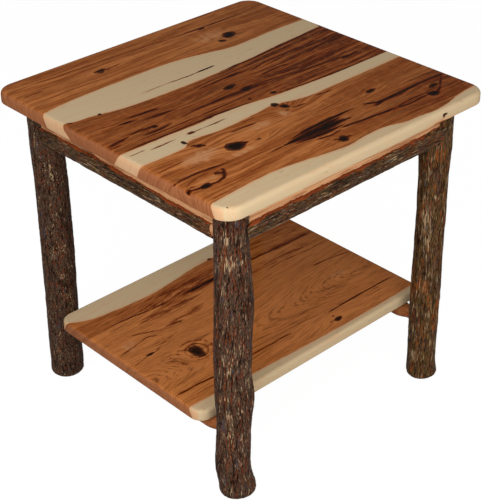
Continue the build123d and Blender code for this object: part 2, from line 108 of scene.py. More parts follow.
# Each panel's boards, from the front.
TOP_FIGURE = {
    "top_board_front": Board(
        pith=(120, 70), dark=(0.0, 0.75), tint=0.15,
        sapwood=(
            (-1, 0.65, (-307, -264.5, -263, -260.5, -213, -257, -159, -257, -109, -264.5, -59,
                -274, -18, -280, 28, -275, 78, -276, 99, -283.5, 140, -288, 182, -294, 211, -290,
                236, -283.5, 265, -278.5, 307, -275)),),
        clouds=((60, -206, 40, 9, 0.5), (-255, -205, 26, 9, 0.6), (-60, -250, 60, 10, 0.4)),
        knots=(
            (-272, -218, 8, 6, 1.1, 1.4), (-232, -200, 7, 4.5, 0.75),
            (-298, -284, 1.6, 1.3, 0.8, 0.6), (-293, -288, 1.4, 1.2, 0.8, 0.6),
            (-301, -277, 1.3, 1.2, 0.7, 0.6), (-9, -256, 7.5, 8, 1.1, 1.4),
            (225, -247, 9, 7.5, 1.15, 1.4), (249, -226, 9, 5.5, 0.95, 1.4),
            (190, -302, 6, 2.6, 1.15, 1.2, 12.5)),
        streaks=(
            ((-307, -213, -290, -216, -272, -219, -250, -221, -236, -218, -226, -209, -219, -199,
                -217, -190), 2.6, 1.05, 0.1),
            ((-238, -220, -227, -210, -220, -198), 4.0, 0.9, 0.3),
            ((-300, -204, -285, -194, -262, -189, -240, -190), 1.5, 0.6),
            ((-307, -207, -296, -206, -284, -207), 1.8, 0.85),
            ((-307, -181, -262, -180, -215, -184, -190, -188), 1.8, 0.8),
            ((-92, -206, -60, -207, -20, -207, 20, -207, 54, -212), 14, 1.1, 0.4),
            ((-72, -198, -30, -193, 20, -191, 84, -191), 4.2, 1.1, 0.3),
            ((-74, -216, -20, -221, 34, -221), 4.5, 1.1, 0.35),
            ((-20, -200, 15, -199, 42, -199), 5.5, 1.1, 0.4),
            ((-135, -208, -110, -207, -85, -206), 2.2, 0.8, 0.4),
            ((-45, -229, -15, -234, 12, -231), 2.4, 1.0),
            ((-27, -248, -12, -253, 12, -257), 2.4, 0.95),
            ((15, -227, 60, -232, 100, -236, 141, -241), 2.7, 1.1, 0.1),
            ((138, -241, 160, -236, 185, -235, 222, -237), 1.9, 1.05, 0.1),
            ((138, -241, 160, -246, 185, -245, 214, -243), 1.9, 1.05, 0.1),
            ((230, -250, 250, -240, 268, -226, 288, -211), 2.3, 1.0, 0.1),
            ((104, -190, 118, -198, 132, -203, 170, -205, 215, -203, 260, -204, 307, -207), 2.8,
                1.1, 0.06),
            ((114, -212, 135, -208, 168, -206), 2.8, 1.05),
            ((116, -207, 150, -206, 190, -205, 232, -206), 5.6, 0.98, 0.4),
            ((118, -203, 160, -206, 215, -204, 307, -208), 8, 0.52, 0.2),
            ((20, -229, 90, -236, 150, -241, 225, -241), 6, 0.46, 0.2),
            ((-300, -232, -200, -236, -120, -230), 1.6, 0.35),
            ((-300, -256, -240, -252), 1.6, 0.4), ((135, -270, 180, -274, 240, -266), 1.6, 0.4))),
    "top_board_mid_front": Board(
        pith=(-130, 70), dark=(0.0, 0.42), tint=0.15,
        sapwood=(
            (1, -0.4, (-307, -102, -235, -102, -212, -98, -196, -88, -178, -88, -150, -93, -84,
                -94, -40, -89, -12, -84, 16, -89, 38, -98, 58, -103, 140, -105.5, 307, -104)),),
        clouds=(
            (-215, -142, 48, 20, 1.0), (-160, -176, 46, 11, 0.8), (-70, -128, 32, 15, 0.8),
            (-12, -122, 14, 18, 0.9), (-110, -128, 40, 14, 0.5), (60, -140, 60, 16, 0.4)),
        knots=(
            (-203, -87, 3, 6.5, 1.0), (-192, -112, 7, 5, 0.8, 1.6),
            (-152, -153, 12, 12.5, 1.15, 2.2), (-2, -89, 5, 6.5, 1.1, 1.4),
            (7, -104, 6.5, 6, 1.1, 1.4), (155, -165, 9, 5, 1.0, 1.4), (-108, -161, 4, 3, 0.8),
            (0, -118, 3, 2, 0.8)),
        streaks=(
            ((-156, -152, -142, -154, -124, -156), 6.5, 1.1, 0.4),
            ((-202, -104, -192, -112, -183, -120), 3.2, 0.85),
            ((-307, -137, -280, -136, -245, -135), 1.6, 0.55),
            ((-128, -113, -100, -114, -72, -117), 2.4, 0.85),
            ((-90, -101, -70, -99, -50, -97), 1.8, 0.45),
            ((74, -112, 90, -114, 112, -116), 2.2, 0.8),
            ((12, -117, 25, -120, 42, -122), 2.2, 0.75),
            ((-307, -184, -288, -178, -250, -179, -215, -183, -165, -190), 2.6, 0.95),
            ((100, -166, 210, -168), 1.2, 0.4))),
    "top_board_mid_rear": Board(
        pith=(125, 60), dark=(0.55, 1.0), wander=16.0,
        sapwood=(
            (1, 1.2, (-307, 103, -292, 97, -263, 91, -213, 81, -151, 75.5, -51, 73, 45, 75, 100,
                79, 161, 83, 224, 88.5, 307, 97)),
            (-1, -0.6, (-307, -49, -190, -50, -150, -51, -112, -48, -84, -47, -51, -51, -9, -57,
                58, -65, 140, -71, 224, -75, 307, -77))),
        clouds=((-200, -58, 60, 7, 0.8), (-70, -62, 60, 9, 0.9), (60, -69, 90, 9, 0.4)),
        knots=(
            (30, 49, 14, 3.5, 0.9), (-9, 16, 11, 6, 1.0, 1.4), (9, -8.5, 13, 6, 1.0, 1.2),
            (-200, -9, 6, 4, 0.95, 1.2), (-15.5, -42.5, 3.5, 3, 0.9), (31, -52, 4.5, 4.5, 1.0),
            (-113, -48, 5, 2.5, 0.9), (228, -37, 10, 2.5, 0.9), (-236.5, 89.5, 3.5, 3, 1.0, 0.6),
            (182, 85.5, 4, 2.5, 0.9, 0.6)),
        streaks=(
            ((-215, 44, -172, 41, -150, 38), 3.9, 0.95),
            ((-243, 36, -225, 33, -206, 30), 4.4, 0.98, 0.4),
            ((-202, 21, -170, 19, -132, 15), 4.6, 0.88, 0.4),
            ((-307, 54, -280, 50, -250, 42, -225, 40), 1.7, 0.5),
            ((-307, -17, -285, -14, -252, -8), 5, 0.8, 0.35),
            ((-252, -4, -225, -5, -190, -9), 4.8, 0.84, 0.35),
            ((-238, -22, -200, -24, -170, -21), 3.4, 0.9, 0.35),
            ((-150, -14, -110, -10, -60, -9, 0, -8, 90, -13), 3.6, 0.8),
            ((-307, -25, -280, -23), 2.2, 0.7), ((-170, 6, -130, 8, -60, 6), 3, 0.45),
            ((-60, 46, 30, 50, 60, 46), 2.7, 0.9),
            ((60, 40, 110, 50, 170, 52, 230, 50), 2.2, 0.9),
            ((190, 28, 240, 34, 307, 47), 2.4, 0.95), ((60, 14, 110, 17, 140, 14), 3, 0.77),
            ((60, 0, 140, -12, 250, -5, 307, -3), 2.2, 0.86),
            ((90, -20, 200, -30, 235, -34, 280, -43), 3, 0.9),
            ((-100, -10, 20, -14, 60, -18), 3.3, 0.77),
            ((-280, -30, -120, -33, 60, -26), 2.1, 0.69),
            ((-300, -45, -180, -47, -113, -46, -60, -50, -9, -55), 2.2, 0.9),
            ((20, -56, 58, -63, 140, -69, 307, -74), 2.2, 0.86),
            ((20, 75, 100, 77, 182, 83, 307, 96), 2.4, 0.9),
            ((-300, 100, -294, 97, -286, 95), 2.7, 0.69),
            ((-240, 116, -200, 108, -160, 105, -60, 103, -30, 101), 1.5, 0.55),
            ((-70, 102, -30, 101, 32, 102), 1.6, 0.7, 0.17, 0.5),
            ((-9, 102, 12, 102, 34, 103), 2.0, 1.05, 0.17, 0.9),
            ((-50, 116, -25, 115, 0, 116), 1.4, 0.42),
            ((125, 108, 170, 110, 215, 110), 1.4, 0.45),
            ((-259, -69, -230, -69.5, -205, -69), 1.9, 0.48),
            ((-186, -69, -140, -69.5, -88, -70), 1.9, 0.52), ((-180, -69, -164, -69), 3.0, 1.0),
            ((-300, -62, -285, -62.5, -262, -62), 1.8, 0.45))),
    "top_board_rear": Board(
        pith=(150, 70), dark=(0.0, 0.42), tint=0.3,
        sapwood=(
            (-1, 0.68, (-307, 157, -275, 162, -213, 167, -120, 168.5, -30, 168, 20, 162, 60, 153,
                107, 141.5, 160, 141, 215, 144, 307, 142.5)),),
        clouds=((120, 205, 60, 26, 0.8), (240, 190, 60, 25, 0.4)),
        knots=(
            (-128, 229, 10, 4, 0.95), (-130, 222, 8, 5, 0.6), (148, 188, 11.5, 10, 1.1, 2.0),
            (120, 175, 7, 5, 0.9), (130, 246, 6, 3.5, 0.95)),
        streaks=(
            ((-300, 264, -200, 263, -50, 258, 60, 250, 220, 248, 307, 246), 1.9, 0.55),
            ((78, 249, 130, 249, 214, 248), 2.2, 0.95), ((-292, 231, -250, 232), 1.8, 0.6),
            ((-125, 224, -100, 226, -80, 228), 2.6, 0.5),
            ((-300, 248, -100, 246, 140, 236, 300, 230), 1.8, 0.35),
            ((-300, 282, 0, 276, 300, 280), 2.0, 0.3),
            ((180, 215, 240, 205, 305, 206), 1.6, 0.35))),
}

SHELF_FIGURE = {
    "shelf_board_front": Board(
        pith=(70, 60), tint=0.9,
        sapwood=(
            (-1, 0.5, (-286, -171, -200, -175, -119, -179, 0, -184, 89, -187, 180, -187, 286,
                -185)),),
        knots=((91, -166, 8, 5, 0.95, 1.4), (90, -154, 4, 3, 0.7)),
        streaks=(((91, -166, 70, -164), 1.2, 0.6), ((-280, -152, -180, -156), 1.6, 0.35))),
    "shelf_board_middle": Board(
        pith=(-48, 46), tint=1.0, wander=15.0,
        clouds=(
            (-250, 35, 45, 24, 0.6), (-80, 70, 60, 12, 0.4), (60, -60, 60, 16, 0.5),
            (200, -60, 70, 20, 0.6), (-225, -45, 40, 12, 0.5), (-190, -100, 60, 14, 0.5)),
        knots=(
            (-168, -60, 11.5, 14, 1.0, 1.5), (-234, -8.5, 7, 3, 0.95, 1.4),
            (-129, 32, 7, 3, 0.55)),
        streaks=(
            (oval(-167, -58, 22, 21), 2.4, 0.52, 0.01),
            (oval(-168, -56, 35, 29), 2.4, 0.44, 0.01),
            ((-190, 79, -120, 77, -40, 74), 11, 0.4, 0.3),
            ((-160, 38, -110, 40, -50, 46), 8, 0.34, 0.3),
            ((-234, 64, -200, 50, -172, 36, -120, 34), 2.6, 0.48),
            ((-286, 22, -240, 30, -205, 36, -186, 28), 2.4, 0.44),
            ((-212, -34, -222, -56, -206, -80), 2.6, 0.42),
            ((-286, 87, -160, 86, -60, 88, 40, 87, 286, 88), 1.6, 0.5),
            ((60, 60, 140, 64, 286, 58), 9, 0.32, 0.3),
            ((-250, -8, -220, -9, -195, 3, -150, 12), 1.4, 0.5),
            ((-200, 32, -180, 24, -190, 12, -214, 8), 1.3, 0.5),
            ((-286, -18, -262, -14, -234, -8), 1.3, 0.5),
            ((96, 46, 160, 50, 230, 44, 286, 44), 1.5, 0.5),
            ((180, -3, 240, -10, 286, -20), 1.8, 0.5),
            ((-150, 40, -110, 36, -60, 44), 1.4, 0.35),
            ((20, -110, 90, -106, 150, -92, 240, -86), 1.2, 0.4),
            ((-286, -132, -240, -133, -200, -137, -160, -139), 2.4, 0.7),
            ((-120, -136, -60, -137, 0, -138), 2.4, 0.62),
            ((78, -141, 110, -139, 160, -138, 220, -139, 286, -141), 2.8, 0.75))),
    "shelf_board_rear": Board(
        pith=(-90, 70), dark=(0.0, 0.25), tint=0.35,
        sapwood=(
            (1, -0.55, (-286, 174, -262, 160, -236, 151, -200, 146, -160, 141.5, -120, 140, -80,
                142, -40, 147, 0, 153, 28, 157, 60, 159, 120, 156, 180, 155, 286, 155)),),
        knots=((56, 157, 4, 3, 0.95),),
        streaks=(
            ((-236, 110, -190, 107, -150, 101, -90, 97), 2.2, 0.7),
            ((-66, 98, -30, 96, 10, 97, 50, 99), 6.0, 1.05, 0.4),
            ((-160, 108, -60, 104, 40, 112), 26, 0.36, 0.3),
            ((-75, 97, -30, 95, 30, 98, 60, 100), 13, 0.45, 0.4),
            ((-135, 130, -60, 122, 0, 120, 60, 125), 13, 0.42, 0.4),
            ((20, 96, 60, 99, 120, 97, 200, 92, 286, 90), 2.6, 0.75),
            ((130, 100, 180, 96, 286, 92), 8, 0.36, 0.3),
            ((-220, 132, -100, 130, 0, 134), 2.5, 0.35), ((150, 137, 260, 138), 2.0, 0.4),
            ((160, 117, 270, 118), 1.6, 0.35))),
}


def line_at(points, along):
    """The smooth line through points, x and y in turn, at each value of along."""
    xs, ys = np.reshape(points, (-1, 2)).astype(float).T
    slopes = np.gradient(ys, xs)
    i = np.clip(np.searchsorted(xs, along) - 1, 0, len(xs) - 2)
    step = xs[i + 1] - xs[i]
    t = np.clip((along - xs[i]) / step, 0, 1)
    return ((2 * t ** 3 - 3 * t ** 2 + 1) * ys[i] + (t ** 3 - 2 * t ** 2 + t) * step * slopes[i]
            + (3 * t ** 2 - 2 * t ** 3) * ys[i + 1] + (t ** 3 - t ** 2) * step * slopes[i + 1])


def distance_to_path(points, x, y):
    """Distance from each (x, y) to a chain of straight runs, and the share run so far."""
    points = np.reshape(points, (-1, 2)).astype(float)
    best, share = np.full(len(x), 1e9), np.zeros(len(x))
    lengths = np.hypot(*np.diff(points, axis=0).T)
    done, total = 0.0, lengths.sum()
    for a, b, length in zip(points, points[1:], lengths):
        t = np.clip(((x - a[0]) * (b - a)[0] + (y - a[1]) * (b - a)[1]) / length ** 2, 0, 1)
        d = np.hypot(x - a[0] - t * (b - a)[0], y - a[1] - t * (b - a)[1])
        nearer = d < best
        best[nearer], share[nearer] = d[nearer], (done + t[nearer] * length) / total
        done += length
    return best, share


# A knot bends the grain this far along and across, in mm and in shares of its own size.
KNOT_REACH_ALONG, KNOT_REACH_ACROSS = (26, 3.2), (5, 2.4)
KNOT_PULL, KNOT_LIFT = 0.58, 5
MARKS_SINK = 3           # marks keep their shape this many mm below the face
FIELD_OUTSIDE = -99.0    # depth into sapwood where there is none


def knot_shade(knot, x, y, level):
    """How strongly a knot shows at each place: a lobed spot that fades below the face."""
    east, north = (x - knot.x) / knot.along, (y - knot.y) / knot.across
    sunk = (np.clip(np.abs(level + knot.drop) - MARKS_SINK, 0, None)
            / min(knot.along, knot.across))
    turn = np.arctan2(north, east)
    lobes = 1 + 0.13 * np.sin(2 * turn + knot.x) + 0.06 * np.sin(3 * turn + knot.y)
    away = np.sqrt(east ** 2 + north ** 2 + sunk ** 2) * lobes
    return knot.dark * np.clip((1.9 - away) / 1.3, 0, 1)


def board_figure(board, places, middle_y, top_z, end_x):
    """The figure's attributes at each place (metres) of a board.

    grain is (along, growth-ring radius, round the rings), in metres. sapwood is the depth
    into sapwood in mm. knot and streak run from 0 to about 1, and so do the others."""
    x, y, z = (places / MM).T
    level = z = z - top_z / MM
    none = np.zeros(len(x))
    knots = [Knot(*values) for values in board.knots]
    wave = 5 * np.sin(x / 83 + board.pith[0]) + 2.4 * np.sin(x / 31 + 0.05 * y + board.pith[1])
    flow = y + wave * 0.5
    for knot in knots:
        reach_x, reach_y = (least + share * size for (least, share), size in (
            (KNOT_REACH_ALONG, knot.along), (KNOT_REACH_ACROSS, knot.across)))
        near = np.exp(-((x - knot.x) / reach_x) ** 2 - ((y - knot.y) / reach_y) ** 2)
        flow = flow - (y - knot.y) * KNOT_PULL * knot.halo ** 0.3 * near
        z = z + KNOT_LIFT * knot.halo * near
    across = flow - middle_y / MM - board.pith[0]
    below = z + board.pith[1] + board.wander * np.sin(x / 120 + board.pith[0])
    radius, turn = np.hypot(across, below), np.arctan2(across, below) * 60
    streak_field, crack_field, cloud_field = none, none, none
    for values in board.streaks:
        streak = Streak(*values)
        d, share = distance_to_path(streak.points, x, y)
        d = np.hypot(d, 0.8 * np.clip(-level - MARKS_SINK, 0, None))
        ends = np.clip(np.minimum(share, 1 - share) / streak.taper, 0.1, 1) ** 0.8
        field = np.exp(-(d / (streak.half_width * ends)) ** 2)
        streak_field = np.maximum(streak_field, streak.dark * field)
        crack_field = np.maximum(crack_field, streak.crack * field)
    for cloud_x, cloud_y, along, wide, strength in board.clouds:
        away = ((x - cloud_x) / along) ** 2 + ((y - cloud_y) / wide) ** 2
        cloud_field = np.maximum(cloud_field, strength * np.exp(-away))
    past_end = np.clip(abs(x) - end_x / MM, 0, None)
    return {
        "end": np.clip(np.minimum(past_end, np.clip(-level, 0, None)) / 3, 0, 1),
        "grain": np.column_stack((x, radius, turn)) * MM,
        "sapwood": np.maximum.reduce([none + FIELD_OUTSIDE] + [
            side * (y - lean * z - line_at(points, x)) for side, lean, points in board.sapwood]),
        "knot": np.maximum.reduce([none] + [knot_shade(knot, x, y, level) for knot in knots]),
        "cloud": cloud_field,
        "streak": streak_field,
        "crack": crack_field,
        # Rises towards a board's right end: partly dark, streaky heartwood and partly painted
        # shade.
        "dark": np.interp(x, (-0.6 * end_x / MM, 0.8 * end_x / MM), board.dark),
        "tint": none + board.tint,
    }


# ---------------------------------------------------------------- settings a user may change

def Colour(name, description, hex_colour):
    """A colour that a user may change."""
    return FloatVectorProperty(name=name, description=description, subtype="COLOR",
                               default=linear(hex_colour))


def Size(name, description, default, unit="LENGTH"):
    """A length, angle or the like that a user may change."""
    return FloatProperty(name=name, description=description, default=default, unit=unit)


class PlankSettings(bpy.types.PropertyGroup):
    """Sizes and colours of the top and the shelf."""
    top_corner: Size("Top corner radius", "Plan radius of the top's four corners", 34 * MM)
    top_round: Size("Top edge round", "Round-over of the top's upper edge", 8 * MM)
    shelf_corner: Size("Shelf corner radius", "Plan radius of the shelf's four corners", 25 * MM)
    shelf_round: Size("Shelf edge round", "Round-over of the shelf's upper edge", 6 * MM)
    under_round: Size("Under edge round", "Small round on the lower edges", 2.5 * MM)
    knot_sink: Size("Knot sink", "How far the middle of a knot lies below the face", 0.35 * MM)
    check_depth: Size("Check depth", "Depth of an open drying check", 0.8 * MM)
    heartwood: Colour("Heartwood", "Plain heartwood", "#8D4B1D")
    heartwood_light: Colour("Light heartwood", "Pale bands of the heartwood", "#BA733D")
    heartwood_dark: Colour("Dark heartwood", "Dark, mineral-stained heartwood", "#6C2C08")
    latewood: Colour("Latewood", "The dark lines between growth rings", "#371000")
    sapwood: Colour("Sapwood", "Pale outer wood", "#BFA885")
    sapwood_pink: Colour("Pink sapwood", "Where sapwood turns to heartwood", "#C3966F")
    end_grain: Colour("End grain", "Heartwood sawn across, at the boards' ends", "#905B3D")
    knot: Colour("Knot", "Knots and mineral streaks", "#120500")


class BarkSettings(bpy.types.PropertyGroup):
    """Sizes and colours of the bark on legs and rails."""
    plate_width: Size("Ridge width", "Width of one bark ridge", 6.5 * MM)
    plate_length: Size("Ridge length", "Length of one bark ridge", 42 * MM)
    furrow_depth: Size("Furrow depth", "Depth of the furrows between ridges", 1.9 * MM)
    # Partly the bark's own dark, partly painted shade at the bottoms of the furrows.
    furrow_and_shade: Colour("Furrow", "Bottom of the furrows", "#130A05")
    ridge: Colour("Ridge", "Weathered grey-brown ridges", "#4D3B2E")
    red_brown: Colour("Red-brown bark", "Fresher bark between the ridges", "#622A17")
    fleck: Colour("Fleck", "Tan flecks where a ridge has broken off", "#AD9270")
    olive: Colour("Olive bark", "Greenish-brown bark", "#5A4220")
    lichen: Colour("Grey bloom", "Cold grey patches on the bark", "#45434A")
    lip: Colour("Bark edge", "Red-brown bark cut through along a rail", "#86401F")
    inner_bark: Colour("Inner bark", "Orange inner bark where the outer has come away",
                       "#904A1C")


class FrameSettings(bpy.types.PropertyGroup):
    """Colours of the sawn rails, the peeled stretchers and the screws."""
    sawn: Colour("Sawn face", "Bare sawn face of a rail", "#D09A6D")
    peeled: Colour("Peeled pole", "Bare wood of the peeled stretchers", "#94552C")
    wood_streak: Colour("Wood streak", "Darker streaks in the sawn and peeled wood", "#84492A")
    wood_pale: Colour("Pale wood", "Paler lines in the sawn and peeled wood", "#C69A70")
    thread_pitch: Size("Thread pitch", "Pitch of the wood screws", 2.2 * MM)
    zinc: Colour("Zinc", "Bright zinc plating", "#B9BBBC")


class StageSettings(bpy.types.PropertyGroup):
    """Where the camera stands, and the light."""
    azimuth: Size("Azimuth", "Camera's bearing round the table",
                  math.radians(-42.59), "ROTATION")
    elevation: Size("Elevation", "Camera's height above the horizon",
                    math.radians(31.92), "ROTATION")
    roll: Size("Roll", "Camera's tilt", math.radians(-0.79), "ROTATION")
    distance: Size("Distance", "From the camera to the point it looks at", 2.496)
    lens: Size("Lens", "Focal length on a 36 mm sensor", 97.0, "CAMERA")
    sky: FloatProperty(
        name="Sky light", description="Strength of the soft light from all round",
        default=0.32, min=0.0)
    background: Colour("Background", "Plain backdrop", "#FFFFFF")


# ---------------------------------------------------------------- small helpers

MATHS, VECTOR, RANGE = "ShaderNodeMath", "ShaderNodeVectorMath", "ShaderNodeMapRange"
NOISE, MIX, ATTRIBUTE = "ShaderNodeTexNoise", "ShaderNodeMix", "ShaderNodeAttribute"
BUMP = "ShaderNodeBump"


def add(tree, kind, inputs=None, out=0, **settings):
    """Add a node with its settings and links, and give back one of its outputs.

    inputs maps a socket's name or number to a value or to another node's output."""
    node = tree.nodes.new(kind)
    for key, value in settings.items():
        setattr(node, key, value)
    for key, value in (inputs or {}).items():
        if isinstance(value, bpy.types.NodeSocket):
            tree.links.new(value, node.inputs[key])
        else:
            node.inputs[key].default_value = value
    return node.outputs[out] if node.outputs else None


def grown(tree, place, along, across, deep=None, detail=2.0, rough=0.55, wander=0.0):
    """A cloudy field round 0.5 whose features are so many mm along the grain, which runs
    with X, and so many mm across it."""
    scale = (1 / (along * MM), 1 / (across * MM), 1 / ((deep or across) * MM))
    scaled = add(tree, VECTOR, {0: place, 1: scale}, operation="MULTIPLY")
    return add(tree, NOISE, {"Vector": scaled, "Scale": 1.0, "Detail": detail,
                             "Roughness": rough, "Distortion": wander})


def roughened(tree, mark, place, reach, *sizes, **settings):
    """A mark that wavers by up to half of reach either way with a field of these sizes."""
    field = grown(tree, place, *sizes, **settings)
    field = add(tree, MATHS, {0: field, 1: reach, 2: -reach / 2}, operation="MULTIPLY_ADD")
    return add(tree, MATHS, {0: mark, 1: field}, operation="ADD")


def stained(tree, below, colour, field, low, high, strength=1.0):
    """A colour laid over another where a field goes from low to high."""
    share = add(tree, RANGE, {"Value": field, "From Min": low, "From Max": high,
                              "To Max": strength}, interpolation_type="SMOOTHSTEP")
    return add(tree, MIX, {0: share, 6: below, 7: colour}, out=2, data_type="RGBA")


def layered(tree, below, *stains):
    """A colour under a stack of stains, each (colour, field, low, high, strength)."""
    for stain in stains:
        below = stained(tree, below, *stain)
    return below


def linked(name, data):
    """An object in the scene."""
    thing = bpy.data.objects.new(name, data)
    bpy.context.scene.collection.objects.link(thing)
    return thing


def finished(piece, node):
    """Let a finished piece ride on the body and replace its CAD node."""
    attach(piece, BODY)
    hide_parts(node)


def solid_mesh(name, verts, faces, merge=0.0):
    """A closed, smooth mesh with its faces turned outwards. Where merge is a distance,
    points that are nearer than that are merged first, and the open cuts closed."""
    mesh = bpy.data.meshes.new(name)
    mesh.from_pydata(verts, [], faces)
    bm = bmesh.new()
    bm.from_mesh(mesh)
    if merge:
        bmesh.ops.remove_doubles(bm, verts=bm.verts, dist=merge)
        open_edges = [edge for edge in bm.edges if edge.is_boundary]
        bmesh.ops.holes_fill(bm, edges=open_edges, sides=0)
    bmesh.ops.recalc_face_normals(bm, faces=bm.faces)
    bm.to_mesh(mesh)
    bm.free()
    mesh.shade_smooth()
    return mesh


def tube_faces(rings, around):
    """The faces between rings of points that follow one another, and the two flat ends."""
    faces = [(i * around + j, i * around + (j + 1) % around,
              (i + 1) * around + (j + 1) % around, (i + 1) * around + j)
             for i in range(rings - 1) for j in range(around)]
    last = (rings - 1) * around
    return faces + [tuple(range(around))[::-1], tuple(range(last, last + around))]


def settle(piece):
    """Keep what a piece's modifiers make as its plain mesh, and remove the modifiers."""
    bpy.context.view_layer.update()
    graph = bpy.context.evaluated_depsgraph_get()
    result = bpy.data.meshes.new_from_object(piece.evaluated_get(graph))
    piece.modifiers.clear()
    old, piece.data = piece.data, result
    result.name = piece.name
    bpy.data.meshes.remove(old)


def set_attributes(mesh, values):
    """Store per-vertex arrays on a mesh, as floats or as vectors."""
    for name, data in values.items():
        kind = "FLOAT_VECTOR" if data.ndim == 2 else "FLOAT"
        attribute = mesh.attributes.new(name, kind, "POINT")
        key = "vector" if data.ndim == 2 else "value"
        attribute.data.foreach_set(key, data.astype(np.float32).ravel())


def vertex_places(mesh):
    """The mesh's vertices as an array."""
    places = np.zeros(len(mesh.vertices) * 3, np.float32)
    mesh.vertices.foreach_get("co", places)
    return places.reshape(-1, 3).astype(float)


def union_box(nodes):
    """Lowest and highest corner of several CAD nodes together."""
    lows, highs = zip(*(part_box(node) for node in nodes))
    return Vector(np.min(lows, 0)), Vector(np.max(highs, 0))


def principled(name, **values):
    """A new material with a Principled BSDF, whose constant sockets are set here."""
    material = bpy.data.materials.new(name)
    material.use_nodes = True
    shader = material.node_tree.nodes["Principled BSDF"]
    for key, value in values.items():
        shader.inputs[key.replace("_", " ")].default_value = value
    return material, material.node_tree, shader


def surface(material, tree, shader, colour, field, strength, depth):
    """Give a material its colour and a fine relief, and hand it back."""
    relief = add(tree, BUMP, {"Height": field, "Strength": strength, "Distance": depth})
    tree.links.new(colour, shader.inputs["Base Color"])
    tree.links.new(relief, shader.inputs["Normal"])
    return material


# ---------------------------------------------------------------- lacquered hickory

def lacquered_hickory(settings):
    """Hickory planks under satin lacquer. Cream sapwood stands against brown heartwood with
    dark latewood lines, mineral streaks, knots and checks. The lacquer deepens the colours
    and leaves a faint sheen. Hickory's pores are about 0.3 mm wide, too fine to show, so
    they are drawn 1.2 mm wide."""
    material, tree, shader = principled(
        "lacquered_hickory", Roughness=0.45, Specular_IOR_Level=0.0, Coat_Weight=0.06,
        Coat_Roughness=0.12)
    grain = add(tree, ATTRIBUTE, out="Vector", attribute_name="grain")
    dark, tint, sapwood, knot, cloud, streak, crack, end = (
        add(tree, ATTRIBUTE, out="Fac", attribute_name=name)
        for name in ("dark", "tint", "sapwood", "knot", "cloud", "streak", "crack", "end"))
    plain, light, deep, late, cream, pink, cut, black = (
        rgba(getattr(settings, name)) for name in (
            "heartwood", "heartwood_light", "heartwood_dark", "latewood", "sapwood",
            "sapwood_pink", "end_grain", "knot"))
    broad = grown(tree, grain, 300, 13, 70, wander=0.4)
    bands = grown(tree, grain, 170, 4.6, 36, detail=4.0, rough=0.6, wander=0.3)
    hair = grown(tree, grain, 120, 1.5, 26, detail=3.0, rough=0.6)
    pores = grown(tree, grain, 34, 1.2, 12, detail=3.0, rough=0.65)
    # Painted sheen: fine pale bars across the grain stand in for the wood's shimmer.
    painted_shimmer = grown(tree, grain, 13, 20, 30)
    depth = roughened(tree, sapwood, grain, 4.0, 22, 3, 10, detail=3.0)
    streak = roughened(tree, streak, grain, 1.5, 34, 2.4, 12, detail=4.0, rough=0.65)
    knot = roughened(tree, knot, grain, 0.6, 7, 2.4, 6, detail=3.0, rough=0.6)
    # The pale clouds show through the painted sheen.
    cloud = add(tree, MATHS, {0: cloud, 1: painted_shimmer}, operation="MULTIPLY")

    # The stripe is dark, streaky heartwood, laid on where dark rises; towards a board's right end
    # it is partly painted shade.
    stripe = layered(
        tree, deep, (plain, bands, 0.47, 0.56, 0.62), (light, bands, 0.54, 0.62, 0.35),
        (late, bands, 0.465, 0.42, 0.9))
    heart = layered(
        tree, plain, (light, broad, 0.44, 0.60, 0.85), (deep, bands, 0.52, 0.62, 0.55),
        (light, bands, 0.45, 0.36, 0.5), (light, tint, 0.0, 1.0, 0.72),
        (stripe, dark, 0.0, 1.0), (light, painted_shimmer, 0.52, 0.70, 0.16),
        (light, cloud, 0.02, 0.28, 0.40), (late, hair, 0.53, 0.61, 0.42),
        (late, pores, 0.55, 0.63, 0.48), (light, pores, 0.44, 0.36, 0.4))
    sap = layered(
        tree, cream, (pink, bands, 0.50, 0.64, 0.30), (pink, pores, 0.55, 0.66, 0.30),
        (pink, depth, 6.0, 0.5, 0.8))
    end_heart = layered(
        tree, cut, (deep, bands, 0.50, 0.64, 0.30), (late, pores, 0.56, 0.66, 0.50))
    end_sap = stained(tree, pink, plain, pores, 0.58, 0.68, 0.6)
    sawn_end = stained(tree, end_heart, end_sap, depth, -1.0, 1.0)
    wood = layered(
        tree, heart, (sap, depth, -0.8, 0.9), (pink, cloud, 0.18, 0.50, 0.38),
        (sawn_end, end, 0.1, 0.9, 0.75), (deep, streak, 0.20, 0.38, 0.9),
        (late, streak, 0.42, 0.66, 0.9), (black, streak, 0.70, 1.10),
        (late, knot, 0.40, 0.60, 0.92), (black, knot, 0.64, 1.08), (black, crack, 0.3, 0.6))
    return surface(material, tree, shader, wood, hair, 0.12, 0.12 * MM)


def ring_points(high, corner, inset, side_ys, side_xs, arc_steps):
    """A rounded rectangle round the origin, up to high, moved in by inset, with the same
    points at each inset."""
    radius = corner - inset
    cx, cy = high[0] - corner, high[1] - corner
    points = []
    for index, (sx, sy) in enumerate(((1, 1), (-1, 1), (-1, -1), (1, -1))):
        for turn in np.linspace(index, index + 1, arc_steps + 1) * math.pi / 2:
            points.append((sx * cx + radius * math.cos(turn), sy * cy + radius * math.sin(turn)))
        edge_x, edge_y = (cx + radius) * sx, (cy + radius) * sy
        for value in (side_xs[::-1], side_ys[::-1], side_xs, side_ys)[index]:
            points.append((value, edge_y) if index in (0, 2) else (edge_x, value))
    return points


